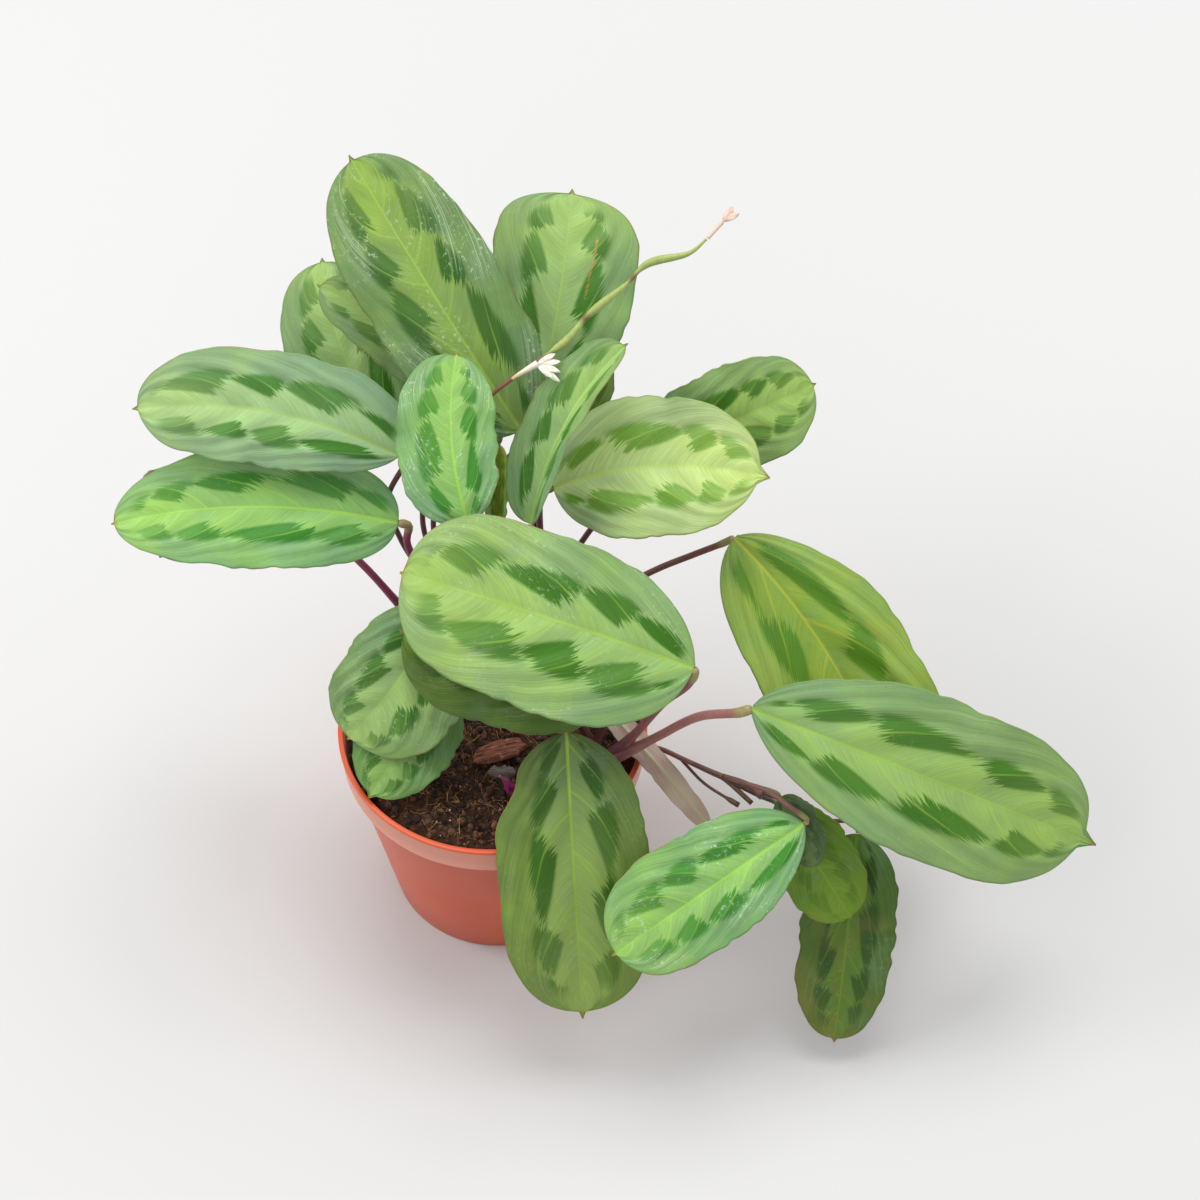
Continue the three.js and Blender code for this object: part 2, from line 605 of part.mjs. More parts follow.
addMesh('pot', potGeometry(), tones.pot, 0.45);
addMesh('soil', soilGeometry(), tones.soil, 0.95);
addMesh('bark_chip', barkGeometry(), tones.bark, 0.9);
addMesh('dry_sheath', drySheathGeometry(), tones.dry, 0.9);
addMesh('young_shoot', youngShootGeometry(), tones.shoot, 0.5);
addMesh('shoot_centre', shootGeometry('centre', []), tones.stem, 0.55);
addMesh('shoot_right', shootGeometry('right', twigs), tones.stem, 0.55);
for (const [name, leaf] of Object.entries(leaves)) {
  const full = { ...leafDefaults, ...leaf };
  addMesh(name, bladeGeometry(full), tones[full.tone], 0.45);
}
addMesh('flower_stalk', flowerStalkGeometry(), tones.flowerStem, 0.55);
addMesh('flower_open', openFlowerGeometry(), tones.flower, 0.6);
addMesh('flower_faded', fadedFlowerGeometry(), tones.faded, 0.8);

export default group;
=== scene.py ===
import itertools
import math
import bpy
import numpy as np
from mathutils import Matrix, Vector


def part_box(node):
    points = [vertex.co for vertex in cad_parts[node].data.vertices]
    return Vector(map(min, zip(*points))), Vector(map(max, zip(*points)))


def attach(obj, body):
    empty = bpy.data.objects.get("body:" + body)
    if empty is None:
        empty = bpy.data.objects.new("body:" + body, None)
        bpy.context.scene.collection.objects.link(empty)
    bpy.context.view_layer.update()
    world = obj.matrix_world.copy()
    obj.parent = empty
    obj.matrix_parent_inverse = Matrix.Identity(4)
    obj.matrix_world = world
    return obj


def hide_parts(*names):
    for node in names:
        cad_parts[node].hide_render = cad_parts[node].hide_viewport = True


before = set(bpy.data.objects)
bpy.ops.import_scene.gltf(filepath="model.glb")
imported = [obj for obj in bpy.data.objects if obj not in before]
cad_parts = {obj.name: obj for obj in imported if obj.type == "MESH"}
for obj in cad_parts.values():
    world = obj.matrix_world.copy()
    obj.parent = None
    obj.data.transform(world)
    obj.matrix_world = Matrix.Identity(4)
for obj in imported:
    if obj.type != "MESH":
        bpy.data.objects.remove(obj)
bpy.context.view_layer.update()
mm = 0.001  # lengths below are in millimetres, as in the frame's drawings, and are scaled once
scene = bpy.context.scene


# Camera and stage, in metres but for the camera's place: the photograph looks down on the plant at
# 52 degrees with a long lens.
view = {"eye": (41.6, -639.7, 991.2), "aim": (41.6, 37.6, 124.4), "angle": 0.4167, "nearest": 0.01}
studio = {
    "floorSize": 12.0, "floorTone": (0.62, 0.62, 0.62), "floorRoughness": 0.9,
    "worldTone": (1.0, 1.0, 1.0), "worldStrength": 0.56, "lampAim": (0, 0, 0.12),
    "lamps": [
        {"name": "backLamp", "at": (0.1, 0.8, 2.4), "size": 1.7, "power": 34, "tone": (1.0, 1.0, 0.99)},
        {"name": "leftLamp", "at": (-1.6, 0.1, 1.4), "size": 1.2, "power": 20, "tone": (1.0, 0.99, 0.97)},
        {"name": "rightLamp", "at": (1.5, 0.6, 1.3), "size": 1.3, "power": 9, "tone": (0.98, 0.99, 1.0)},
        {"name": "frontLamp", "at": (-0.4, -1.6, 1.2), "size": 1.2, "power": 3, "tone": (1.0, 1.0, 1.0)},
    ],
}


def placeAimed(name, data, place, aim):
    made = bpy.data.objects.new(name, data)
    made.location = place
    made.rotation_euler = (aim - place).to_track_quat("-Z", "Y").to_euler()
    scene.collection.objects.link(made)
    return made


def makeCamera():
    data = bpy.data.cameras.new("camera")
    data.angle = view["angle"]
    data.sensor_fit = "HORIZONTAL"
    data.clip_start = view["nearest"]
    scene.camera = placeAimed("camera", data, Vector(view["eye"]) * mm, Vector(view["aim"]) * mm)


def makeLamps():
    world = bpy.data.worlds.new("world")
    world.use_nodes = True
    sky = world.node_tree.nodes["Background"]
    sky.inputs["Color"].default_value = (*studio["worldTone"], 1)
    sky.inputs["Strength"].default_value = studio["worldStrength"]
    scene.world = world
    for lamp in studio["lamps"]:
        data = bpy.data.lights.new(lamp["name"], "AREA")
        data.shape = "DISK"
        data.size = lamp["size"]
        data.energy = lamp["power"]
        data.color = lamp["tone"]
        placeAimed(lamp["name"], data, Vector(lamp["at"]), Vector(studio["lampAim"]))
    scene.view_settings.view_transform = "Standard"


# Node helpers. A value given to a socket is a number, a tuple or another node's output.
def feed(tree, node, given):
    for name, value in given.items():
        socket = node.inputs[name]
        if isinstance(value, bpy.types.NodeSocket):
            tree.links.new(value, socket)
        elif socket.type == "RGBA":
            socket.default_value = (*value, 1)
        else:
            socket.default_value = value


def addNode(tree, kind, given, **settings):
    made = tree.nodes.new(kind)
    for name, value in settings.items():
        setattr(made, name, value)
    feed(tree, made, given)
    return made.outputs


def calc(tree, operation, *values, clamp=False):
    given = dict(enumerate(values))
    return addNode(tree, "ShaderNodeMath", given, operation=operation, use_clamp=clamp)[0]


def times(tree, first, *others):
    for other in others:
        first = calc(tree, "MULTIPLY", first, other)
    return first


def timesPlus(tree, first, second, third):
    return calc(tree, "MULTIPLY_ADD", first, second, third)


def minus(tree, first, second):
    return calc(tree, "SUBTRACT", first, second)


def ramp(tree, value, low, high, start=0.0, end=1.0):
    given = {"Value": value, "From Min": low, "From Max": high, "To Min": start, "To Max": end}
    return addNode(tree, "ShaderNodeMapRange", given, interpolation_type="SMOOTHSTEP")[0]


def fade(tree, value, low, high, start=1.0):
    return ramp(tree, value, low, high, start, 0.0)


def blend(tree, amount, first, second, how="MIX"):
    given = {0: amount, 6: first, 7: second}
    return addNode(tree, "ShaderNodeMix", given, data_type="RGBA", blend_type=how, clamp_factor=True)[2]


def pack(tree, x, y, z):
    return addNode(tree, "ShaderNodeCombineXYZ", {0: x, 1: y, 2: z})[0]


def unpack(tree, vector):
    return addNode(tree, "ShaderNodeSeparateXYZ", {0: vector})


def shadeBy(tree, colour, amount):
    return blend(tree, 1.0, colour, pack(tree, amount, amount, amount), "MULTIPLY")


def objectPlace(tree):
    return addNode(tree, "ShaderNodeTexCoord", {})["Object"]


def tintOf(tree):
    return addNode(tree, "ShaderNodeVertexColor", {}, layer_name="tint")[0]


def noise(tree, vector, scale, detail=2.0, roughness=0.5):
    given = {"Vector": vector, "Scale": scale, "Detail": detail, "Roughness": roughness}
    return addNode(tree, "ShaderNodeTexNoise", given)["Fac"]


def stretchedNoise(tree, place, scales, detail=2.0, roughness=0.5, shift=(0, 0, 0)):
    given = {0: place, 1: scales, 2: shift}
    stretched = addNode(tree, "ShaderNodeVectorMath", given, operation="MULTIPLY_ADD")[0]
    return noise(tree, stretched, 1.0, detail, roughness)


def newGroup(name, colours, numbers, gives):
    group = bpy.data.node_groups.new(name, "ShaderNodeTree")
    for labels, kind in ((colours, "Color"), (numbers, "Float")):
        for label in labels:
            group.interface.new_socket(label, in_out="INPUT", socket_type="NodeSocket" + kind)
    for label, kind in gives.items():
        group.interface.new_socket(label, in_out="OUTPUT", socket_type="NodeSocket" + kind)
    return group, group.nodes.new("NodeGroupInput").outputs, group.nodes.new("NodeGroupOutput")


def newMaterial(name):
    material = bpy.data.materials.new(name)
    material.use_nodes = True
    return material, material.node_tree


def finishMaterial(tree, given, height=None, strength=0.3, depth=0.3):
    # Gives the shader its values, and the surface a relief of that depth in millimetres.
    if height is not None:
        relief = {"Strength": strength, "Distance": depth * mm, "Height": height}
        given = {**given, "Normal": addNode(tree, "ShaderNodeBump", relief)[0]}
    feed(tree, tree.nodes["Principled BSDF"], given)


def tone(red, green, blue):
    # A colour given as it looks on a screen, 0 to 255, as the linear light that shaders use.
    parts = np.array([red, green, blue]) / 255
    return tuple(float(v) for v in np.where(parts < 0.0405, parts / 12.92, ((parts + 0.055) / 1.055) ** 2.4))


# Mesh helpers. A shape is its points, its faces and, where the material reads one, a tint for each point.
def gridFaces(rows, columns, closed=False):
    # Quads of a grid with that many rows and columns; closed joins the last column to the first.
    row, column = np.mgrid[0:rows - 1, 0:columns if closed else columns - 1]
    here, beside = row * columns + column, row * columns + (column + 1) % columns
    return np.stack([here, beside, beside + columns, here + columns], -1).reshape(-1, 4)


def rimFaces(shape):
    # Quads that join the border of a grid to that of its copy below.
    count = shape[0] * shape[1]
    index = np.arange(count).reshape(shape)
    ring = np.concatenate([index[0, :-1], index[:-1, -1], index[-1, :0:-1], index[:0:-1, 0]])
    ahead = np.roll(ring, -1)
    return np.stack([ring, ring + count, ahead + count, ahead], -1)


def sheet(upper, lower):
    # Two grids of points joined at their border; the last result is 0 above, 1 below and 2 at the rim.
    top, rim = gridFaces(*upper.shape[:2]), rimFaces(upper.shape[:2])
    points = np.concatenate([upper.reshape(-1, 3), lower.reshape(-1, 3)])
    faces = np.concatenate([top, top[:, ::-1] + len(points) // 2, rim])
    return points, faces, np.repeat([0, 1, 2], [len(top), len(top), len(rim)])


def closedRings(rings, start, end):
    # Rings of points joined side by side, and closed by one point before the first and after the last.
    rows, sides = rings.shape[:2]
    count = rows * sides
    here = np.arange(sides)
    ahead, last = (here + 1) % sides, count - sides
    faces = gridFaces(rows, sides, closed=True).tolist()
    faces += np.stack([np.full(sides, count), ahead, here], -1).tolist()
    faces += np.stack([np.full(sides, count + 1), last + here, last + ahead], -1).tolist()
    return np.concatenate([rings.reshape(-1, 3), [start], [end]]), faces


def insideOut(shape):
    return shape[0], [face[::-1] for face in shape[1]]


def turnedRings(profile, sides):
    # Each radius and height of the profile carried round the pot's axis.
    profile = np.array(profile, float)
    angle = np.linspace(0, 2 * np.pi, sides, endpoint=False)
    radius, height = profile[:, :1], profile[:, 1:]
    return np.stack([radius * np.cos(angle), radius * np.sin(angle), height + 0 * angle], -1)


def makePiece(name, shape, materials, slots=None, smooth=True):
    points, faces, *tints = shape
    mesh = bpy.data.meshes.new(name)
    mesh.from_pydata((np.asarray(points).reshape(-1, 3) * mm).tolist(), [], [list(face) for face in faces])
    for material in materials:
        mesh.materials.append(material)
    if slots is not None:
        mesh.polygons.foreach_set("material_index", np.asarray(slots, dtype=np.int32))
    mesh.polygons.foreach_set("use_smooth", np.full(len(mesh.polygons), smooth))
    mesh.update()
    if tints:
        colours = np.ones((len(mesh.vertices), 4), dtype=np.float32)
        colours[:, :3] = tints[0]
        layer = mesh.color_attributes.new("tint", "FLOAT_COLOR", "POINT")
        layer.data.foreach_set("color", colours.ravel())
    piece = bpy.data.objects.new(name, mesh)
    scene.collection.objects.link(piece)
    return piece


def addUv(piece, values):
    mesh = piece.data
    corner = np.empty(len(mesh.loops), dtype=np.int32)
    mesh.loops.foreach_get("vertex_index", corner)
    layer = mesh.uv_layers.new(name="blade")
    layer.data.foreach_set("uv", np.asarray(values, dtype=np.float32)[corner].ravel())


def addVectors(piece, name, values):
    layer = piece.data.attributes.new(name, "FLOAT_VECTOR", "POINT")
    layer.data.foreach_set("vector", np.asarray(values, dtype=np.float32).ravel())


def settle(piece, node):
    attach(piece, "root")
    if node:
        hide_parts(node)


def unit(vector):
    return vector / np.linalg.norm(vector, axis=-1, keepdims=True)


def smoothStep(low, high, value):
    x = np.clip((value - low) / (high - low), 0, 1)
    return x * x * (3 - 2 * x)


def mixed(first, second, amount):
    amount = np.asarray(amount)[:, None]
    return np.array(first) * (1 - amount) + np.array(second) * amount


def latticeNoise(x, y, cell, seed, size=128):
    # Smooth random heights, -1 to 1, on a square lattice with cells of that length.
    table = np.random.default_rng(seed).uniform(-1, 1, (size, size))
    u, v = x / cell + size / 2, y / cell + size / 2
    i, j = np.floor(u).astype(int), np.floor(v).astype(int)
    a, b = smoothStep(0, 1, u - i), smoothStep(0, 1, v - j)
    i, j, nextI, nextJ = i % size, j % size, (i + 1) % size, (j + 1) % size
    near = table[i, j] * (1 - a) + table[nextI, j] * a
    far = table[i, nextJ] * (1 - a) + table[nextI, nextJ] * a
    return near * (1 - b) + far * b


# Leaves. Base and tip are the ends of the blade. Arch, bend and peak bow its midrib, roll turns it
# about that, full to drip shape its outline, and fold to ragged its surface and its edge. Of the
# pattern, patches is how many dark patches a half has along the leaf, phase shifts them, and inner and
# reach are where across the half they start and end; glare is pale specks and streaks, partly dried
# residue and partly painted glare and sheen; scorch is brown blotches, shade is painted shade that
# darkens the blade near the stalk where leaves above shadow it, and scar is an orange scratch.
leafDefaults = {
    "arch": 4, "bend": 0, "peak": 0.5, "roll": 0, "full": 2.9, "shift": 1, "lean": 0, "side": 0,
    "drip": 0.02, "fold": 8, "droop": 0.12, "wave": 0.8, "pleat": 0.75, "ruffle": 0.5, "notch": 0,
    "ragged": 0.85, "tone": "mid", "patches": 5.0, "phase": 0.0, "inner": 0.17, "reach": 0.66,
    "glare": 0.15, "scorch": 0, "shade": 0, "scar": 0, "seed": 1,
}
leafShapes = {
    "leaf_back_tall": {
        "base": (12, 70, 187), "tip": (-52, 142, 260), "width": 54, "arch": 7, "roll": 8, "full": 3.1,
        "tone": "moss", "glare": 0.75,
    },
    "leaf_back_right": {
        "base": (16, 83, 175), "tip": (31, 152, 233), "width": 58, "arch": 6, "bend": 1, "roll": -10,
        "full": 3.2, "shift": 1.9, "scar": 0.9,
    },
    "leaf_back_left": {
        "base": (-36, 82, 162), "tip": (-66, 141, 207), "width": 47, "arch": 5, "bend": -5, "roll": 12,
    },
    "leaf_back_mid": {"base": (1, 79, 177), "tip": (-66, 118, 216), "width": 29, "bend": 5, "fold": 16},
    "leaf_left_upper": {
        "base": (-34, 59, 185), "tip": (-133, 69, 200), "width": 45, "arch": 8, "bend": 9, "roll": 10,
        "full": 2.8, "lean": -0.2, "side": 0.06, "tone": "sheened",
    },
    "leaf_left_lower": {
        "base": (-35, 46, 161), "tip": (-143, 43, 164), "width": 48, "arch": 9, "bend": 5, "roll": -6,
        "full": 2.05, "shift": 0.88, "drip": 0.01, "tone": "fresh",
    },
    "leaf_left_under": {
        "base": (-109, 63, 169), "tip": (-127, 42, 145), "width": 42, "roll": 200, "tone": "back",
    },
    "leaf_centre_small": {
        "base": (-7, 28, 183), "tip": (-11, 74, 226), "width": 38, "arch": 3, "bend": -4, "side": -0.1,
        "tone": "fresh", "glare": 0.9,
    },
    "leaf_centre_fold": {
        "base": (16, 34, 175), "tip": (52, 79, 225), "width": 34, "bend": -5, "roll": 38, "fold": 38,
    },
    "leaf_right_mid": {
        "base": (24, 54, 172), "tip": (105, 48, 185), "width": 56, "arch": 7, "bend": -5, "roll": 9,
        "full": 2.3, "drip": 0.05, "tone": "pale",
    },
    "leaf_right_hidden": {
        "base": (21, 59, 169), "tip": (44, 96, 200), "width": 20, "arch": 2, "tone": "dark",
    },
    "leaf_right_upper": {
        "base": (61, 76, 167), "tip": (124, 92, 189), "width": 43, "arch": 6, "roll": -12, "tone": "warm",
    },
    "leaf_centre_big": {
        "base": (76, -19, 156), "tip": (-32, 11, 175), "width": 66, "arch": 8, "bend": 1, "full": 3.2,
        "shift": 1.15, "lean": 0.1, "side": -0.06, "drip": 0.01, "tone": "warm", "inner": 0.13,
        "glare": 0.45,
    },
    "leaf_centre_under": {
        "base": (46, -14, 139), "tip": (-33, 2, 152), "width": 54, "arch": 5, "tone": "dark",
    },
    "leaf_left_front": {
        "base": (-18, 11, 152), "tip": (-54, -21, 114), "width": 50, "arch": 6, "bend": -2, "roll": 8,
        "side": -0.1, "glare": 0.35, "shade": 0.2,
    },
    "leaf_left_front_under": {
        "base": (-19, 0, 118), "tip": (-46, -37, 98), "width": 38, "arch": 3, "full": 2.2, "shift": 0.9,
        "drip": 0.04, "tone": "deep", "shade": 0.3,
    },
    "leaf_front_hang": {
        "base": (29, -28, 129), "tip": (35, -95, 33), "width": 58, "arch": 8, "peak": 0.3, "full": 3.5,
        "shift": 1.35, "notch": 0.14, "tone": "olive", "shade": 0.9,
    },
    "leaf_front_right": {
        "base": (118, -50, 100), "tip": (46, -93, 76), "width": 46, "arch": 5, "bend": 1, "roll": 6,
        "shift": 1.3, "side": 0.06, "tone": "fresh", "glare": 0.8,
    },
    "leaf_right_large": {
        "base": (98, -22, 135), "tip": (230, -49, 84), "width": 63, "arch": 10, "bend": -2, "roll": -10,
        "full": 2.7, "shift": 1.28, "lean": 0.06, "drip": 0.05, "tone": "warm",
    },
    "leaf_right_yellow": {
        "base": (93, 47, 151), "tip": (160, -27, 58), "width": 63, "arch": 7, "bend": -8, "roll": 10,
        "shift": 1.2, "lean": -0.14, "side": -0.02, "tone": "yellow",
    },
    "leaf_branch_dark": {
        "base": (110, -36, 97), "tip": (122, -61, 86), "width": 17, "arch": 2, "bend": -2, "tone": "inShade",
    },
    "leaf_branch_yellow": {
        "base": (111, -36, 88), "tip": (138, -67, 60), "width": 32, "arch": 3, "tone": "lime",
    },
    "leaf_branch_low": {
        "base": (141, -36, 72), "tip": (133, -93, 11), "width": 38, "arch": 5, "ragged": 1.2, "tone": "dark",
        "scorch": 0.4,
    },
    "leaf_right_strip": {
        "base": (41, 2.2, 106.8), "tip": (84, -42.8, 84.8), "width": 10.5, "arch": -4, "roll": 192,
        "full": 4, "pleat": 0.3, "ruffle": 0.15, "ragged": 0.5, "tone": "back",
    },
    "leaf_young": {
        "base": (2, 52, 152), "tip": (4, 66, 184), "width": 13, "arch": 1, "fold": 45, "wave": 0,
        "tone": "yellow",
    },
}

# What all blades share. A side vein sweeps towards the tip by away (a + away (b + c away)), where away
# is how far out on the half a point is; slow waves, each a size, a pace and a turn, push patches and
# veins to and fro along the half; and the two halves of a leaf differ.
blade = {
    "rows": 110, "columns": 48, "thickness": 0.34, "rib": 0.35, "ribWidth": 0.7, "groove": 0.3,
    "grooveWidth": 0.9, "stalkEnd": 0.05, "tipLength": 0.09, "tipWidth": 0.26, "tipEnd": 0.012,
    "notchAt": 0.25, "notchSize": 0.08,
}
veins = {
    "sweep": (0.15, 0.22, 0.22), "waves": ((0.3, 4.4, 1.7), (0.17, 9.1, 0.9)), "halves": 7.3, "first": 0.13,
}
facing = unit(np.array([0, -0.6, 0.8]))  # the way that blades turn their upper side


def turned(vector, axis, angle):
    # The vector turned about an axis at right angles to it.
    return vector * math.cos(angle) + np.cross(axis, vector) * math.sin(angle)


def leafFrame(leaf):
    # The ends of the midrib, the blade's upward direction, and the point that pulls the midrib.
    base, tip = np.array(leaf["base"], float), np.array(leaf["tip"], float)
    chord = tip - base
    along = unit(chord)
    face = turned(unit(facing - along * (facing @ along)), along, -math.radians(leaf["roll"]))
    pull = base + chord * leaf["peak"] + face * 2 * leaf["arch"] + np.cross(along, face) * 2 * leaf["bend"]
    return base, tip, face, pull


def veinSweep(away):
    first, second, third = veins["sweep"]
    return away * (first + away * (second + third * away))


def patchDrift(leaf, s, upper):
    drift = 0.5 * upper + leaf["phase"]
    for size, pace, turn in veins["waves"]:
        drift = drift + size * np.sin(pace * s + turn * (leaf["seed"] + veins["halves"] * upper))
    return drift


def bladePoints(leaf, s, t):
    # s runs 0 to 1 from stalk to tip and t -1 to 1 across. The midrib is a quadratic curve; half the
    # width is an oval, (1 - |2s - 1|^full)^0.5, closed by a short drip tip; both halves rise with the
    # fold, fall with the droop, wave at the edge, and are pleated between their side veins.
    base, tip, face, pull = leafFrame(leaf)
    u = s[..., None]
    middle = (1 - u) ** 2 * base + 2 * u * (1 - u) * pull + u * u * tip
    tangent = unit((1 - u) * (pull - base) + u * (tip - pull))
    normal = unit(face - tangent * (tangent @ face)[..., None])
    across = np.cross(tangent, normal)
    half, away, swell = np.sign(t), np.abs(t), np.sin(np.pi * s)
    oval = np.clip(s / (1 - leaf["drip"]), 0, 1) ** (leaf["shift"] * (1 + leaf["lean"] * half))
    body = np.sqrt(np.clip(1 - np.abs(2 * oval - 1) ** leaf["full"], 0, 1))
    toTip = np.clip(1 - s, 0, blade["tipLength"]) / blade["tipLength"]
    end = np.where(s < 0.5, blade["stalkEnd"], blade["tipWidth"] * toTip ** 1.25 + blade["tipEnd"])
    reach = leaf["width"] / 2 * (body ** 4 + end ** 4) ** 0.25 * (1 + leaf["side"] * half)
    nicks = latticeNoise(s * 9 + 20 * half, leaf["width"] + 0 * s, 1.0, 5)
    nicks = nicks + 0.5 * latticeNoise(s * 26, half, 1.0, 6)
    reach = reach - leaf["ragged"] * (0.6 + nicks) * swell ** 0.5 * away
    notch = np.exp(-((s - blade["notchAt"]) / blade["notchSize"]) ** 2)
    reach = reach * (1 - leaf["notch"] * (half > 0) * notch)
    fold = math.radians(leaf["fold"])
    edge = np.sin(6 * np.pi * s + np.where(t > 0, 0, 1.7)) * swell
    rise = reach * (away * math.sin(fold) - leaf["droop"] * t * t) + leaf["wave"] * away ** 2.5 * edge
    turns = (s - veinSweep(away) + veins["first"]) * leaf["patches"] + patchDrift(leaf, s, t > 0)
    depth = leaf["pleat"] * leaf["width"] / 60 * (1 - 0.6 * away ** 2)
    rise = rise + depth * np.cos(2 * np.pi * turns) * np.sin(np.pi * away ** 0.8) * swell ** 0.5
    ruffle = np.sin(17 * s + 3 * half + leaf["width"]) + 0.6 * np.sin(31 * s + 5 * half)
    rise = rise + leaf["ruffle"] * ruffle * away ** 5 * swell
    groove = blade["groove"] * np.exp(-(reach * t / blade["grooveWidth"]) ** 2) * (1 - s)
    rise = rise - groove * np.sin(np.pi * np.clip(s * 8, 0, 0.5))
    points = middle + across * (reach * t * math.cos(fold))[..., None] + normal * rise[..., None]
    return points, normal, reach


def makeBlade(node, name, leaf, materials, rows=blade["rows"], columns=blade["columns"]):
    # A thin sheet about the blade's points, with a rib below; rows lie closer towards the ends.
    even = np.linspace(0, 1, rows + 1)
    s = 0.5 * (even + 0.5 * (1 - np.cos(np.pi * even)))
    across = np.linspace(-1, 1, columns + 1)
    t = 0.7 * across + 0.3 * np.sin(np.pi / 2 * across)
    s, t = np.meshgrid(s, t, indexing="ij")
    points, normal, reach = bladePoints(leaf, s, t)
    rib = blade["rib"] * np.exp(-(reach * t / blade["ribWidth"]) ** 2) * (1 - s)
    below = blade["thickness"] / 2 + rib
    above = blade["thickness"] / 2
    points, faces, slots = sheet(points + normal * above, points - normal * below[..., None])
    piece = makePiece(name, (points, faces), materials, slots)
    base, tip, _, _ = leafFrame(leaf)
    inMm = np.stack([s * np.linalg.norm(tip - base), reach * t, reach * (1 - np.abs(t))], -1)
    addUv(piece, np.tile(np.stack([s, 0.5 + t / 2], -1).reshape(-1, 2), (2, 1)))
    addVectors(piece, "bladeMm", np.tile(inMm.reshape(-1, 3), (2, 1)))
    settle(piece, node)


def makeLeaves():
    for index, (name, shape) in enumerate(leafShapes.items()):
        leaf = {**leafDefaults, "seed": 1.0 + 3.7 * index, **shape}
        under = undersides["paleUnderside" if leaf["tone"] == "back" else "leafUnderside"]
        makeBlade(name, name + "_blade", leaf, [topMaterial(name, leaf), under, leafRim])


# Each tone of leaf: its colour slot, then the light middle, the outer zone, the dark patches and the veins.
leafTones = {
    "mid": ("leaf_green", (150, 186, 112), (118, 153, 97), (58, 114, 20), (160, 196, 98)),
    "warm": ("leaf_green", (148, 184, 100), (130, 164, 100), (58, 114, 12), (158, 194, 80)),
    "moss": ("leaf_green", (130, 162, 76), (104, 138, 82), (48, 98, 22), (152, 190, 80)),
    "pale": ("leaf_green", (183, 209, 131), (162, 186, 124), (98, 150, 30), (184, 214, 104)),
    # A lighter, greyer tone: painted sheen on the leaf's upper side.
    "sheened": ("leaf_green", (167, 203, 137), (138, 172, 126), (66, 124, 36), (166, 202, 112)),
    "deep": ("leaf_green", (128, 168, 92), (98, 140, 76), (48, 102, 20), (136, 180, 76)),
    "fresh": ("leaf_fresh", (142, 190, 103), (122, 168, 106), (54, 130, 30), (162, 214, 84)),
    "yellow": ("leaf_yellow", (136, 168, 60), (146, 178, 80), (78, 132, 20), (178, 190, 66)),
    "lime": ("leaf_yellow", (108, 146, 40), (100, 138, 38), (86, 124, 28), (132, 160, 54)),
    "olive": ("leaf_olive", (132, 160, 86), (106, 132, 60), (52, 100, 6), (142, 180, 60)),
    "dark": ("leaf_dark", (86, 120, 36), (78, 108, 36), (46, 80, 16), (108, 146, 36)),
    # A darker, bluer tone: painted shade for a leaf that lies in the shadow of others.
    "inShade": ("leaf_dark", (84, 110, 60), (72, 98, 56), (58, 86, 42), (94, 120, 66)),
    "back": ("leaf_underside", (86, 120, 36), (78, 108, 36), (46, 80, 16), (108, 146, 36)),
}
undersideTones = {
    "leafUnderside": {"Base": (150, 156, 118), "Flush": (140, 112, 104), "Rib": (150, 168, 96)},
    "paleUnderside": {"Base": (196, 178, 156), "Flush": (178, 150, 138), "Rib": (190, 180, 148)},
}
leafColours = ("Light", "Outer", "Dark", "Vein")
leafNumbers = ("seed", "patches", "phase", "inner", "reach", "glare", "scorch", "shade", "scar")

# The pattern. Fine and coarse are noises, and so is the one for the pale streaks along the veins,
# painted sheen that also reads as dried water marks: cells for a millimetre of vein and for half the
# blade, detail and roughness. Mottle, specks and bloom are cells for a millimetre along and across.
# Opening, bow and uneven, by which one patch differs from the next, are parts of half the blade.
pattern = {
    "fine": (1.9, 3.0, 3.0, 0.6), "coarse": (1.0, 2.0, 2.0, 0.5), "sheenAndWaterMarks": (0.7, 2.2, 3.0, 0.6),
    "fineTeeth": 0.12, "coarseTeeth": 0.16, "teethAlong": 0.65, "slant": 0.16,
    "opening": 0.24, "curve": 1.3, "bow": 0.1, "uneven": (0.06, 0.08, 0.14),
    "mottle": (0.055, 0.055, 0), "specks": (0.5, 0.5, 0), "bloom": (0.05, 0.05, 0),
    "coolFoot": (0.94, 0.98, 1.1), "warmTip": (1.04, 1.0, 0.9), "ribWidth": 0.7, "ribTaper": 0.5,
    "grey": (116, 148, 108), "scorched": (150, 104, 70), "old": (132, 112, 62), "dryTip": (160, 124, 60),
    "scar": (214, 146, 78), "residueAndSheenTone": (214, 226, 206), "underVein": (172, 182, 132), "underVeins": 11.0,
}


def bladeFields(group):
    # s and t, how far out a point is, its place in millimetres, and the s at which its side vein starts.
    uv = unpack(group, addNode(group, "ShaderNodeUVMap", {}, uv_map="blade")[0])
    s, t = uv[0], timesPlus(group, uv[1], 2.0, -1.0)
    away = calc(group, "ABSOLUTE", t)
    lengths = addNode(group, "ShaderNodeAttribute", {}, attribute_name="bladeMm")["Vector"]
    first, second, third = veins["sweep"]
    sweep = timesPlus(group, away, timesPlus(group, away, third, second), first)
    return s, t, away, lengths, minus(group, s, times(group, away, sweep))


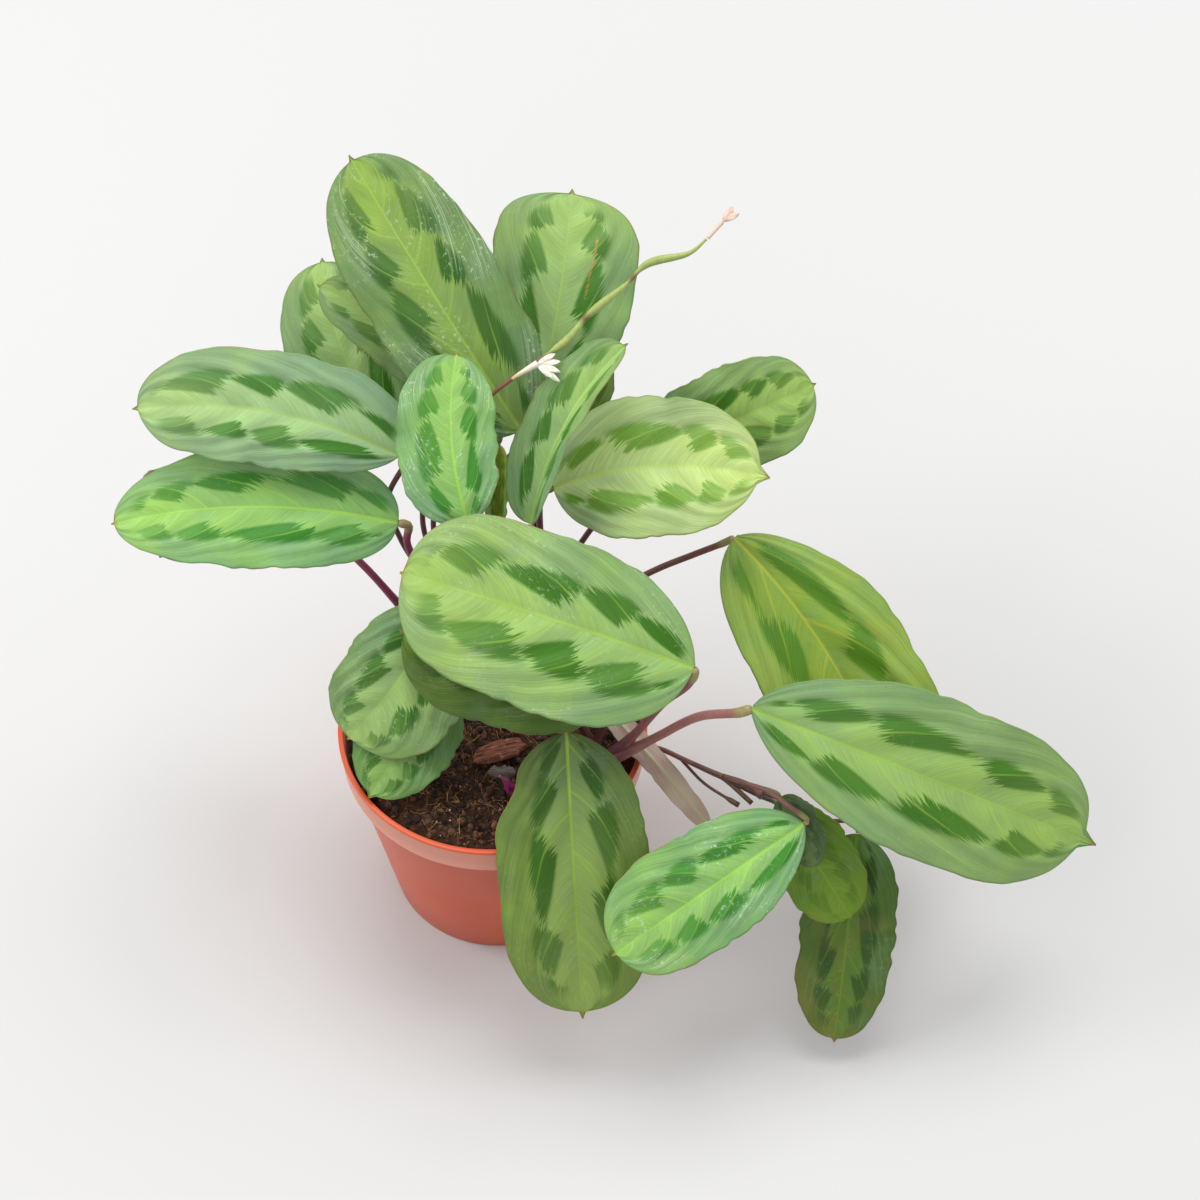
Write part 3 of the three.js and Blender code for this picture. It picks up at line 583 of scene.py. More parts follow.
def leafPattern():
    # In a half leaf, dark patches stand in a row beside the light middle. Along the leaf, each starts
    # with a blunt edge near the midrib and drifts outwards to a tail; f is how far through it a point
    # is: inner edge = inner + opening f^curve, outer edge = reach - bow (2 f - 0.9)^2. All edges are
    # feathered along the fine veins, by moving the point along its own vein before it is judged.
    numbers = [label.capitalize() for label in (*leafNumbers, "length")]
    gives = {"Color": "Color", "Roughness": "Float", "Height": "Float"}
    group, entry, leave = newGroup("leafPattern", leafColours, numbers, gives)
    s, t, away, lengths, flow = bladeFields(group)
    _, offRib, offEdge = unpack(group, lengths)
    half = calc(group, "GREATER_THAN", t, 0.0)
    seeded = timesPlus(group, half, veins["halves"], entry["Seed"])
    flowMm = times(group, flow, entry["Length"])

    def veinNoise(along, across, detail, roughness):
        place = pack(group, times(group, flowMm, along), times(group, away, across), seeded)
        return noise(group, place, 1.0, detail, roughness)

    # Fine lines along the veins, and the teeth that they give every edge.
    streak = minus(group, veinNoise(*pattern["fine"]), 0.5)
    teeth = minus(group, veinNoise(*pattern["coarse"]), 0.5)
    moved = timesPlus(group, streak, pattern["fineTeeth"], times(group, teeth, pattern["coarseTeeth"]))
    awayMoved = calc(group, "ADD", away, moved)
    sMoved = timesPlus(group, moved, pattern["teethAlong"], s)
    drift = timesPlus(group, half, 0.5, entry["Phase"])
    for size, pace, turn in veins["waves"]:
        wave = calc(group, "SINE", timesPlus(group, s, pace, times(group, seeded, turn)))
        drift = timesPlus(group, wave, size, drift)

    # The dark patches, none quite like the next.
    slant = timesPlus(group, awayMoved, pattern["slant"], sMoved)
    phase = timesPlus(group, slant, entry["Patches"], drift)
    f = calc(group, "FRACT", phase)
    patch = pack(group, calc(group, "FLOOR", phase), seeded, 0.5)
    chance = addNode(group, "ShaderNodeTexWhiteNoise", {"Vector": patch}, noise_dimensions="3D")["Color"]
    chances = unpack(group, chance)
    opened = calc(group, "POWER", f, pattern["curve"])
    inner = timesPlus(group, opened, pattern["opening"], entry["Inner"])
    inner = timesPlus(group, chances[0], pattern["uneven"][0], inner)
    bow = calc(group, "POWER", calc(group, "ABSOLUTE", timesPlus(group, f, 2.0, -0.9)), 2.0)
    outer = timesPlus(group, bow, -pattern["bow"], entry["Reach"])
    outer = timesPlus(group, chances[1], -pattern["uneven"][1], outer)
    tail = timesPlus(group, chances[2], pattern["uneven"][2], f)
    starts = ramp(group, minus(group, awayMoved, inner), -0.02, 0.03)
    ends = fade(group, minus(group, awayMoved, outer), -0.06, 0.03)
    between = times(group, ramp(group, f, 0.0, 0.05), fade(group, tail, 0.95, 1.1))
    onBlade = times(group, ramp(group, s, 0.02, 0.07), fade(group, s, 0.88, 0.95))
    dark = times(group, starts, ends, times(group, between, onBlade))
    dark = times(group, dark, timesPlus(group, chances[1], 0.2, 0.8), ramp(group, s, 0.5, 1.0, 1.0, 0.65))

    # The light middle fades into the outer zone, which is greyer and finely lined. All of it is bluer
    # near the stalk and yellower towards the tip.
    edge = timesPlus(group, opened, -0.2, awayMoved)
    colour = blend(group, fade(group, edge, 0.26, 0.5), entry["Outer"], entry["Light"])
    shift = pack(group, seeded, 0.0, seeded)
    mottle = stretchedNoise(group, lengths, pattern["mottle"], 3.0, shift=shift)
    colour = blend(group, ramp(group, mottle, 0.4, 0.75, 0.0, 0.35), colour, entry["Vein"])
    colour = blend(group, fade(group, mottle, 0.25, 0.5, 0.3), colour, tone(*pattern["grey"]))
    colour = blend(group, dark, colour, entry["Dark"])
    lines = timesPlus(group, streak, timesPlus(group, away, 0.9, 0.5), 1.0)
    # Painted shade: as much as shade asks, the blade is darkened towards the stalk, as if leaves above
    # shadowed it.
    paintedShadeNearStalk = times(group, ramp(group, s, 0.0, 0.6, -0.5, 0.0), entry["Shade"])
    colour = shadeBy(group, colour, timesPlus(group, lines, paintedShadeNearStalk, lines))
    tinge = blend(group, ramp(group, s, 0.0, 1.0), pattern["coolFoot"], pattern["warmTip"])
    colour = blend(group, 1.0, colour, tinge, "MULTIPLY")

    # Side veins run out between the patches, and the midrib narrows towards the tip.
    turns = timesPlus(group, calc(group, "ADD", flow, veins["first"]), entry["Patches"], drift)
    within = calc(group, "FRACT", calc(group, "ADD", turns, 0.5))
    fromVein = calc(group, "ABSOLUTE", minus(group, within, 0.5))
    sideVein = times(group, fade(group, fromVein, 0.0, 0.05, 0.5), fade(group, away, 0.3, 0.7))
    colour = blend(group, sideVein, colour, entry["Vein"])
    ribWidth = timesPlus(group, s, -pattern["ribTaper"], pattern["ribWidth"])
    fromRib = minus(group, calc(group, "ABSOLUTE", offRib), ribWidth)
    colour = blend(group, fade(group, fromRib, -0.3, 0.2, 0.85), colour, entry["Vein"])

    # The very edge is dark, and scorched in places. Old leaves go brown in blotches, more so towards
    # the tip, which dries to a tan point.
    colour = blend(group, fade(group, offEdge, 0.2, 1.4, 0.3), colour, entry["Dark"])
    scorched = times(group, fade(group, offEdge, 0.1, 0.4, 0.8), ramp(group, mottle, 0.42, 0.6))
    colour = blend(group, scorched, colour, tone(*pattern["scorched"]))
    worse = timesPlus(group, mottle, 1.6, times(group, s, 0.35))
    old = times(group, ramp(group, worse, 0.92, 1.3), entry["Scorch"])
    colour = blend(group, old, colour, tone(*pattern["old"]))
    colour = blend(group, ramp(group, s, 0.97, 0.99, 0.0, 0.6), colour, tone(*pattern["dryTip"]))

    # A scar is a broken scratch beside the midrib.
    fromScar = calc(group, "ABSOLUTE", minus(group, t, timesPlus(group, s, 0.25, 0.2)))
    scar = times(group, fade(group, fromScar, 0.008, 0.022), ramp(group, streak, -0.02, 0.04))
    scar = times(group, scar, times(group, ramp(group, s, 0.56, 0.58), fade(group, s, 0.8, 0.82)))
    colour = blend(group, times(group, scar, entry["Scar"]), colour, tone(*pattern["scar"]))

    # Pale specks and streaks, as strong as glare: partly dried residue, partly painted glare and sheen.
    specks = stretchedNoise(group, lengths, pattern["specks"], 5.0, 0.75)
    residueAndSheenPlace = pack(group, times(group, s, 3.0), t, calc(group, "ADD", seeded, 3.0))
    sheenAndWaterMarks = ramp(group, veinNoise(*pattern["sheenAndWaterMarks"]), 0.5, 0.75, 0.0, 0.8)
    sheenAndWaterMarks = times(group, sheenAndWaterMarks, ramp(group, away, 0.3, 0.6))
    residueAndSheen = calc(group, "MAXIMUM", ramp(group, specks, 0.54, 0.7), sheenAndWaterMarks)
    residueAndSheen = times(group, residueAndSheen, ramp(group, noise(group, residueAndSheenPlace, 1.4, 1.0), 0.42, 0.62), entry["Glare"])
    colour = blend(group, residueAndSheen, colour, tone(*pattern["residueAndSheenTone"]))
    rough = timesPlus(group, residueAndSheen, 0.25, timesPlus(group, mottle, 0.16, 0.34))
    relief = timesPlus(group, sideVein, 0.4, times(group, streak, 0.6))
    feed(group, leave, {"Color": colour, "Roughness": rough, "Height": relief})
    return group


def undersidePattern():
    # The underside is pale, with raised ribs and a purple bloom.
    gives = {"Color": "Color", "Height": "Float"}
    group, entry, leave = newGroup("undersidePattern", ("Base", "Flush", "Rib"), (), gives)
    _, _, away, lengths, flow = bladeFields(group)
    streak = minus(group, noise(group, pack(group, times(group, flow, 90.0), away, 2.0), 1.0, 2.0), 0.5)
    bloom = stretchedNoise(group, lengths, pattern["bloom"])
    colour = blend(group, ramp(group, bloom, 0.35, 0.7), entry["Base"], entry["Flush"])
    colour = shadeBy(group, colour, timesPlus(group, streak, 0.2, 1.0))
    within = calc(group, "FRACT", times(group, flow, pattern["underVeins"]))
    fromVein = calc(group, "ABSOLUTE", minus(group, within, 0.5))
    vein = calc(group, "SUBTRACT", 1.0, times(group, fromVein, 14.0), clamp=True)
    colour = blend(group, times(group, vein, 0.35), colour, tone(*pattern["underVein"]))
    rib = fade(group, calc(group, "ABSOLUTE", unpack(group, lengths)[1]), 0.6, 1.1, 0.8)
    colour = blend(group, rib, colour, entry["Rib"])
    feed(group, leave, {"Color": colour, "Height": timesPlus(group, vein, 0.6, streak)})
    return group


patternGroup = leafPattern()
undersideGroup = undersidePattern()


def topMaterial(name, leaf):
    material, tree = newMaterial(name + "_top")
    base, tip, _, _ = leafFrame(leaf)
    given = {label: tone(*colour) for label, colour in zip(leafColours, leafTones[leaf["tone"]][1:])}
    given.update({label.capitalize(): leaf[label] for label in leafNumbers})
    given["Length"] = float(np.linalg.norm(tip - base))
    out = addNode(tree, "ShaderNodeGroup", given, node_tree=patternGroup)
    look = {"Base Color": out["Color"], "Roughness": out["Roughness"], "Specular IOR Level": 0.3}
    finishMaterial(tree, look, out["Height"], 0.35, 0.4)
    return material


def undersideMaterial(name):
    material, tree = newMaterial(name)
    given = {label: tone(*colour) for label, colour in undersideTones[name].items()}
    out = addNode(tree, "ShaderNodeGroup", given, node_tree=undersideGroup)
    finishMaterial(tree, {"Base Color": out["Color"], "Roughness": 0.5}, out["Height"], 0.4, 0.4)
    return material


def rimMaterial():
    material, tree = newMaterial("leafRim")
    grain = noise(tree, objectPlace(tree), 180.0)
    colour = blend(tree, grain, tone(132, 128, 76), tone(140, 164, 92))
    finishMaterial(tree, {"Base Color": colour, "Roughness": 0.5})
    return material


undersides = {name: undersideMaterial(name) for name in undersideTones}
leafRim = rimMaterial()


# Stalks. The routes are the frame's own, so that each stalk meets its leaf. Knee is the length of the
# straight end below the blade, sheath how much wider the foot is, and sleeve the colour of the foot.
crowns = {
    "centre": {"x": 0, "y": 28, "radius": 9, "foot": 76, "top": 99},
    "right": {"x": 42, "y": -15, "radius": 5.5, "foot": 80, "top": 97},
}
crownForm = {"rings": 12, "sides": 28, "taper": 0.96, "ribs": 7, "ribDepth": 0.05}
skins = {
    "plum": tone(100, 54, 58), "brown": tone(96, 64, 54), "pink": tone(166, 112, 104),
    "lime": tone(160, 170, 96), "magenta": tone(140, 56, 88), "tan": tone(120, 80, 70),
    "violet": tone(92, 48, 92), "rose": tone(140, 88, 88), "loam": tone(72, 66, 46),
}
stalkDefaults = {
    "radius": 1.2, "knee": 5, "sheath": 0.6, "skin": "plum", "sleeve": "pink", "sink": 6, "gap": 0.2,
    "sides": 12, "kneeSwell": 0.16,
}
branchStart = [(47, -12, 95), (53, -11, 97.2), (60, -12.5, 97.6), (66, -14.5, 97.5)]
branchStalk = {"radius": 0.85, "sheath": 0.1, "skin": "brown", "sleeve": "loam"}
leafStalks = {
    "centre": {
        "leaf_back_tall": {"by": [(-2, 44, 123), (0, 58, 148), (6, 67, 173)]},
        "leaf_back_right": {"radius": 1.1, "by": [(2, 46, 113), (2, 65, 141), (9, 74, 153)]},
        "leaf_back_left": {"radius": 1.1, "knee": 4, "by": [(-15, 41, 108), (-27, 63, 136), (-28, 72, 146)]},
        "leaf_back_mid": {"radius": 1.1, "knee": 4, "by": [(-10, 39, 110), (-23, 62, 143), (-14, 69, 159)]},
        "leaf_left_upper": {
            "radius": 1.1, "knee": 3, "by": [(-17, 39, 116), (-35, 51, 145), (-39, 56, 164)],
        },
        "leaf_left_lower": {
            "radius": 1.5, "knee": 4, "skin": "magenta",
            "by": [(-15, 34, 106), (-26, 41, 134), (-32, 44, 152)],
        },
        "leaf_left_under": {
            "radius": 1.5, "skin": "magenta", "by": [(-19, 31, 100), (-51, 47, 136), (-78, 65, 152)],
        },
        "leaf_centre_small": {"by": [(-3, 25, 115), (-4, 28, 161)]},
        "leaf_centre_fold": {"by": [(5, 28, 111), (12, 33, 149)]},
        "leaf_right_mid": {"radius": 1.3, "by": [(6, 31, 104), (18, 45, 140)]},
        "leaf_right_hidden": {"radius": 1, "by": [(4, 36, 100), (14, 50, 134)]},
        "leaf_right_upper": {"by": [(12, 39, 103), (36, 60, 136), (53, 72, 156)]},
        "leaf_right_yellow": {
            "radius": 1.3, "arrive": (0.81, 0.04, 0.58), "skin": "tan",
            "by": [(26, 40, 106), (61, 46, 131), (78, 47, 141)],
        },
        "leaf_young": {"radius": 1.1, "knee": 3, "by": [(1, 54, 129)]},
        "leaf_right_strip": {"knee": 4, "by": [(12, 24, 99), (28, 12, 105)]},
        "leaf_left_front": {"knee": 4, "by": [(-7, 25, 108), (-12, 18, 141)]},
        "leaf_left_front_under": {"radius": 1.1, "knee": 4, "by": [(-9, 19, 103), (-15, 5, 117)]},
    },
    "right": {
        "leaf_centre_big": {
            "radius": 1.6, "knee": 3, "arrive": (-0.1, 0, 1), "skin": "rose", "sleeve": "violet",
            "by": [(46, -17.5, 99), (50, -18.5, 106), (56, -17, 114), (65, -14, 127), (74, -19, 146)],
        },
        "leaf_centre_under": {
            "radius": 1.3, "knee": 4, "by": [(40, -15, 102), (46, -13, 120), (50, -13.5, 131)],
        },
        "leaf_front_hang": {"radius": 1.5, "knee": 4, "by": [(38, -14, 103), (32, -16, 122)]},
        "leaf_right_large": {
            "radius": 1.75, "arrive": (0.88, 0, 0.47), "skin": "pink", "sleeve": "violet",
            "by": [(47, -19, 99), (52, -20, 104.5), (58, -19, 108), (64, -18, 112), (79, -19, 126)],
        },
        "leaf_front_right": {
            **branchStalk, "radius": 1.0, "knee": 2, "skin": "tan",
            "by": [*branchStart, (74, -23, 103), (88, -31, 104), (105, -39, 105), (113, -46, 105)],
        },
        "leaf_branch_dark": {**branchStalk, "knee": 2, "by": [*branchStart, (74, -23, 103), (88, -31, 104)]},
        "leaf_branch_yellow": {
            **branchStalk, "knee": 3, "by": [*branchStart, (74, -22, 102), (88, -31, 103), (102, -36, 98)],
        },
        "leaf_branch_low": {
            **branchStalk, "knee": 4,
            "by": [*branchStart, (74, -22, 101.5), (88, -29, 100), (106, -29, 88), (126, -32, 76)],
        },
    },
}
twigs = [
    {
        "radius": 0.6, "tipRadius": 1.1,
        "route": [(71, -18.5, 100), (75, -23.5, 99.5), (81, -30, 98), (92, -38, 97), (94, -39.5, 97)],
    },
    {"radius": 1, "tipRadius": 1, "route": [(84, -29, 103.5), (88, -31, 103), (99, -40, 99)]},
    {"radius": 1.1, "tipRadius": 2, "route": [(88, -31, 104), (97, -35, 104.5), (103, -39.5, 103.5)]},
]
stalkStep = 1.2


def routePoints(route, step=stalkStep, dense=40):
    # A centripetal Catmull-Rom curve through the route, as in the frame, in even steps.
    given = np.array(route, float)
    padded = np.concatenate([[2 * given[0] - given[1]], given, [2 * given[-1] - given[-2]]])
    u = np.linspace(0, 1, dense, endpoint=False)[:, None]
    spans = []
    for index in range(len(given) - 1):
        a, b, c, d = padded[index:index + 4]
        before, here, after = (max(np.linalg.norm(q - p) ** 0.5, 1e-4) for p, q in ((a, b), (b, c), (c, d)))
        leaving = ((b - a) / before - (c - a) / (before + here) + (c - b) / here) * here
        arriving = ((c - b) / here - (d - b) / (here + after) + (d - c) / after) * here
        square, cube = 3 * (c - b) - 2 * leaving - arriving, 2 * (b - c) + leaving + arriving
        spans.append(b + leaving * u + square * u ** 2 + cube * u ** 3)
    curve = np.concatenate([*spans, given[-1:]])
    reached = np.concatenate([[0], np.cumsum(np.linalg.norm(np.diff(curve, axis=0), axis=1))])
    even = np.linspace(0, reached[-1], max(6, int(reached[-1] / step)) + 1)
    return np.stack([np.interp(even, reached, curve[:, axis]) for axis in range(3)], -1)


def tube(centres, radius, sides=12, tint=skins["plum"]):
    # Rings round the centres at the radius given for each, closed by a point at each end.
    count = len(centres)
    tangent = unit(np.gradient(centres, axis=0))
    guide = np.eye(3)[np.argmin(np.abs(tangent).max(0))]
    across = unit(guide - tangent * (tangent @ guide)[:, None])
    upward = np.cross(tangent, across)
    angle = np.linspace(0, 2 * np.pi, sides, endpoint=False)[None, :, None]
    outward = across[:, None] * np.cos(angle) + upward[:, None] * np.sin(angle)
    rings = centres[:, None] + np.broadcast_to(radius, (count,))[:, None, None] * outward
    tint = np.broadcast_to(np.array(tint), (count, 3))
    tints = np.concatenate([np.repeat(tint, sides, axis=0), tint[:1], tint[-1:]])
    return *closedRings(rings, centres[0], centres[-1]), tints


def joined(shapes):
    points, faces, tints, start = [], [], [], 0
    for part, quads, colours in shapes:
        points.append(part)
        tints.append(colours)
        faces += [[corner + start for corner in face] for face in quads]
        start += len(part)
    return np.concatenate(points), faces, np.concatenate(tints)


def leafStalk(crown, leaf, given):
    # A tube that is wider in its sheath at the foot and in the knee below the blade.
    stalk = {**stalkDefaults, **given}
    base, _, _, pull = leafFrame({**leafDefaults, **leafShapes[leaf]})
    arriving = unit(np.array(stalk["arrive"], float)) if "arrive" in stalk else unit(pull - base)
    first = np.array(stalk["by"][0], float)
    outward = unit(np.array([first[0] - crown["x"], first[1] - crown["y"], 0]))
    foot = np.array([crown["x"], crown["y"], crown["top"] - stalk["sink"]]) + outward * crown["radius"] / 2
    ends = [base - arriving * stalk["knee"], base - arriving * stalk["gap"]]
    centres = routePoints([foot, *stalk["by"], *ends])
    u = np.linspace(0, 1, len(centres))
    fromEnd = (1 - u) * len(centres) * stalkStep
    sheath = stalk["sheath"] * (1 - smoothStep(0.12, 0.4, u))
    knee = 1 - smoothStep(5, 8, fromEnd)
    swollen = 1 + sheath + stalk["kneeSwell"] * knee
    radius = stalk["radius"] * swollen * (1 - 0.25 * (1 - smoothStep(0, 0.8, fromEnd)))
    tint = mixed(skins[stalk["skin"]], skins[stalk["sleeve"]], 0.5 * (1 - smoothStep(0.1, 0.35, u)))
    return tube(centres, radius, stalk["sides"], mixed(tint, skins["lime"], 0.55 * knee))


def crownPart(crown):
    # The radius narrows by (1 - taper level^4)^0.5 towards the top, with low ribs round it.
    rings, sides = crownForm["rings"], crownForm["sides"]
    angle = np.linspace(0, 2 * np.pi, sides, endpoint=False)
    level = np.linspace(0, 1, rings)[:, None]
    radius = crown["radius"] * np.sqrt(1 - crownForm["taper"] * level ** 4)
    radius = radius * (1 + crownForm["ribDepth"] * np.cos(crownForm["ribs"] * angle))
    height = crown["foot"] + (crown["top"] - crown["foot"]) * level + 0 * angle
    points = np.stack([crown["x"] + radius * np.cos(angle), crown["y"] + radius * np.sin(angle), height], -1)
    points = np.concatenate([points.reshape(-1, 3), [[crown["x"], crown["y"], crown["top"]]]])
    faces = gridFaces(rings, sides, closed=True).tolist()
    last = (rings - 1) * sides
    faces += [[last + index, last + (index + 1) % sides, rings * sides] for index in range(sides)]
    faces.append(list(range(sides - 1, -1, -1)))
    return points, faces, np.tile(np.array(skins["brown"]), (len(points), 1))


def stalkMaterial(name, roughness):
    # The skin's colour comes from the piece's tint, with fine streaks along it.
    material, tree = newMaterial(name)
    place = objectPlace(tree)
    streak = stretchedNoise(tree, place, (900, 900, 160), 3.0)
    blotch = noise(tree, place, 140.0, 2.0)
    shade = timesPlus(tree, streak, 0.5, timesPlus(tree, blotch, 0.5, 0.5))
    look = {"Base Color": shadeBy(tree, tintOf(tree), shade), "Roughness": roughness}
    finishMaterial(tree, look, streak, 0.3, 0.3)
    return material


def makeShoots():
    skin = stalkMaterial("stalkSkin", 0.42)
    for name, crown in crowns.items():
        parts = [crownPart(crown)]
        parts += [leafStalk(crown, leaf, stalk) for leaf, stalk in leafStalks[name].items()]
        for twig in twigs if name == "right" else []:
            centres = routePoints(twig["route"])
            knob = smoothStep(0.8, 0.9, np.linspace(0, 1, len(centres)))
            radius = twig["radius"] + (twig["tipRadius"] - twig["radius"]) * knob
            parts.append(tube(centres, radius, 10, skins["brown"]))
        settle(makePiece("stalks_" + name, joined(parts), [skin]), "shoot_" + name)


# Flower stalk and flowers.
flowerStalk = {
    "radius": 0.85, "swell": 0.75, "swellings": [(0.69, 0.76), (0.77, 0.85), (0.88, 0.97)], "step": 0.8,
    "joints": [(0.765, 0.008), (0.865, 0.01)], "greenFrom": (0.66, 0.7),
    "red": (128, 84, 66), "green": (158, 174, 96), "joint": (120, 92, 58),
    "route": [
        (-5.5, 39.5, 84.5), (-5.5, 39.5, 96), (-6, 40.5, 110), (-9, 41, 130), (-13, 44, 165), (-10, 59, 194),
        (0, 68, 207), (16, 78, 214), (29, 85, 220), (37, 92, 226), (51, 101, 233), (59, 106, 239),
        (75, 108, 243), (81, 112, 246),
    ],
}
flowers = {
    "flower_open": {
        "slot": "petal", "tone": (238, 232, 222), "throatTone": (226, 206, 150), "radii": (0.6, 1.4),
        "sides": 12, "throat": [(9.1, 72.8, 212.55), (12.5, 73, 215.5), (18.5, 75, 218.5)],
        "middle": (18, 74.8, 218.2),
        "tips": [(25, 77.5, 221), (27, 75.5, 219), (27, 72.4, 216.8), (26.8, 69.6, 214.5), (24, 70, 216.5)],
        "width": 2.3, "lift": 0.5, "crinkle": 1,
    },
    "flower_faded": {
        "slot": "faded_petal", "tone": (222, 196, 182), "throatTone": (222, 196, 182), "radii": (0.8, 0.8),
        "sides": 10, "throat": [(81.5, 112.3, 246.3), (84, 114.5, 248), (87, 117, 250)],
        "middle": (87, 117, 250), "tips": [(91, 121, 254), (93, 119, 252.5), (89.5, 121.5, 252)],
        "width": 2.6, "lift": 0.6, "crinkle": 3,
    },
}
petalForm = {"facing": (0, -0.5, 0.9), "rows": 22, "columns": 11, "thickness": 0.2, "throatStep": 0.4}


def makeFlowerStalk():
    # A tube that swells at its three bracts, red below, green above, and darker at two joints.
    centres = routePoints(flowerStalk["route"], flowerStalk["step"])
    u = np.linspace(0, 1, len(centres))
    bulge = np.zeros_like(u)
    for low, high in flowerStalk["swellings"]:
        inside = np.clip((u - low) / (high - low), 0, 1)
        bulge = np.maximum(bulge, np.sin(np.pi * inside ** 0.7))
    radius = flowerStalk["radius"] * (1 - 0.4 * smoothStep(0.96, 1, u)) + flowerStalk["swell"] * bulge
    red, green, joint = (tone(*flowerStalk[part]) for part in ("red", "green", "joint"))
    tint = mixed(red, green, smoothStep(*flowerStalk["greenFrom"], u))
    tint = mixed(tint, joint, sum(np.exp(-((u - at) / size) ** 2) for at, size in flowerStalk["joints"]))
    shape = joined([tube(centres, radius, 14, tint)])
    piece = makePiece("flower_stalk_skin", shape, [stalkMaterial("flowerStalkSkin", 0.45)])
    settle(piece, "flower_stalk")


def petal(flower, index):
    # A thin strap, widest past its middle, bent back by lift and crinkled.
    base, tip = np.array(flower["middle"], float), np.array(flower["tips"][index], float)
    rows, columns = np.linspace(0, 1, petalForm["rows"]), np.linspace(-1, 1, petalForm["columns"])
    s, t = np.meshgrid(rows, columns, indexing="ij")
    along, upward = unit(tip - base), np.array(petalForm["facing"])
    face = unit(upward - along * (along @ upward))
    side = np.cross(along, face)
    half = flower["width"] / 2 * np.sin(np.pi * np.clip(s * 0.93 + 0.05, 0, 1) ** 1.3) ** 0.8
    crinkle = 0.35 * np.sin(9 * s + flower["crinkle"] * index) * np.abs(t)
    rise = flower["lift"] * s * (1 - s) * 4 + crinkle - 0.25 * t * t * half
    points = base + (tip - base) * s[..., None] + side * (half * t)[..., None] + face * rise[..., None]
    above = face * petalForm["thickness"] / 2
    points, faces, _ = sheet(points + above, points - above)
    return points, faces.tolist(), np.tile(np.array(tone(*flower["tone"])), (len(points), 1))


def petalMaterial():
    material, tree = newMaterial("petal")
    fleck = noise(tree, objectPlace(tree), 700.0, 3.0)
    colour = blend(tree, ramp(tree, fleck, 0.5, 0.75, 0.0, 0.35), tintOf(tree), tone(196, 176, 150))
    finishMaterial(tree, {"Base Color": colour, "Roughness": 0.6}, fleck, 0.3, 0.3)
    return material


def makeFlowers():
    material = petalMaterial()
    for name, flower in flowers.items():
        throat = routePoints(flower["throat"], petalForm["throatStep"])
        u = np.linspace(0, 1, len(throat))
        narrow, wide = flower["radii"]
        tint = mixed(tone(*flower["throatTone"]), tone(*flower["tone"]), u)
        parts = [tube(throat, narrow + (wide - narrow) * u, flower["sides"], tint)]
        parts += [petal(flower, index) for index in range(len(flower["tips"]))]
        settle(makePiece(name + "_petals", joined(parts), [material]), name)


# Pot: the frame's profile, turned finely, with rounded edges. Collar and band are where its upper
# part and its rim start.
pot = {
    "profile": [
        (0, 0), (8.6, 0), (9, 0.2), (9.6, 1.6), (38.4, 1.6), (39, 0.25), (39.3, 0), (42.3, 0), (42.8, 0.3),
        (43, 0.8), (49.6, 41), (56.4, 80.7), (56.7, 81.2), (58.6, 81.4), (59.0, 81.8), (59.1, 82.4),
        (59.6, 93.4), (59.9, 93.6), (60, 93.9), (60, 94.6), (59.85, 94.9), (59.6, 95), (58.3, 95),
        (58, 94.9), (57.9, 94.6), (57.5, 83), (54.9, 80.3), (49, 44), (42.1, 4.6), (40.9, 3.4), (0, 3.4),
    ],
    "rim": 60, "sides": 144, "collar": 81.2, "band": 93.2, "drainRadius": 4, "drainCircle": 26, "drains": 6,
    "drainSides": 32, "drainFrom": -3, "drainTo": 8,
}


def makePot():
    first, *middle, last = pot["profile"]
    shape = closedRings(turnedRings(middle, pot["sides"]), (0, 0, first[1]), (0, 0, last[1]))
    piece = makePiece("pot_shell", shape, [potMaterial()])
    cutters = []
    for index in range(pot["drains"]):
        turn = 2 * math.pi * (index + 0.5) / pot["drains"]
        x, y = pot["drainCircle"] * math.cos(turn), pot["drainCircle"] * math.sin(turn)
        centres = np.array([(x, y, z) for z in np.linspace(pot["drainFrom"], pot["drainTo"], 8)])
        cutters.append(tube(centres, pot["drainRadius"], pot["drainSides"]))
    cutter = makePiece("potDrains", joined(cutters)[:2], [])
    hole = piece.modifiers.new("drains", "BOOLEAN")
    hole.operation = "DIFFERENCE"
    hole.solver = "EXACT"
    hole.object = cutter
    bpy.context.view_layer.objects.active = piece
    piece.select_set(True)
    bpy.ops.object.modifier_apply(modifier="drains")
    bpy.data.objects.remove(cutter)
    settle(piece, "pot")


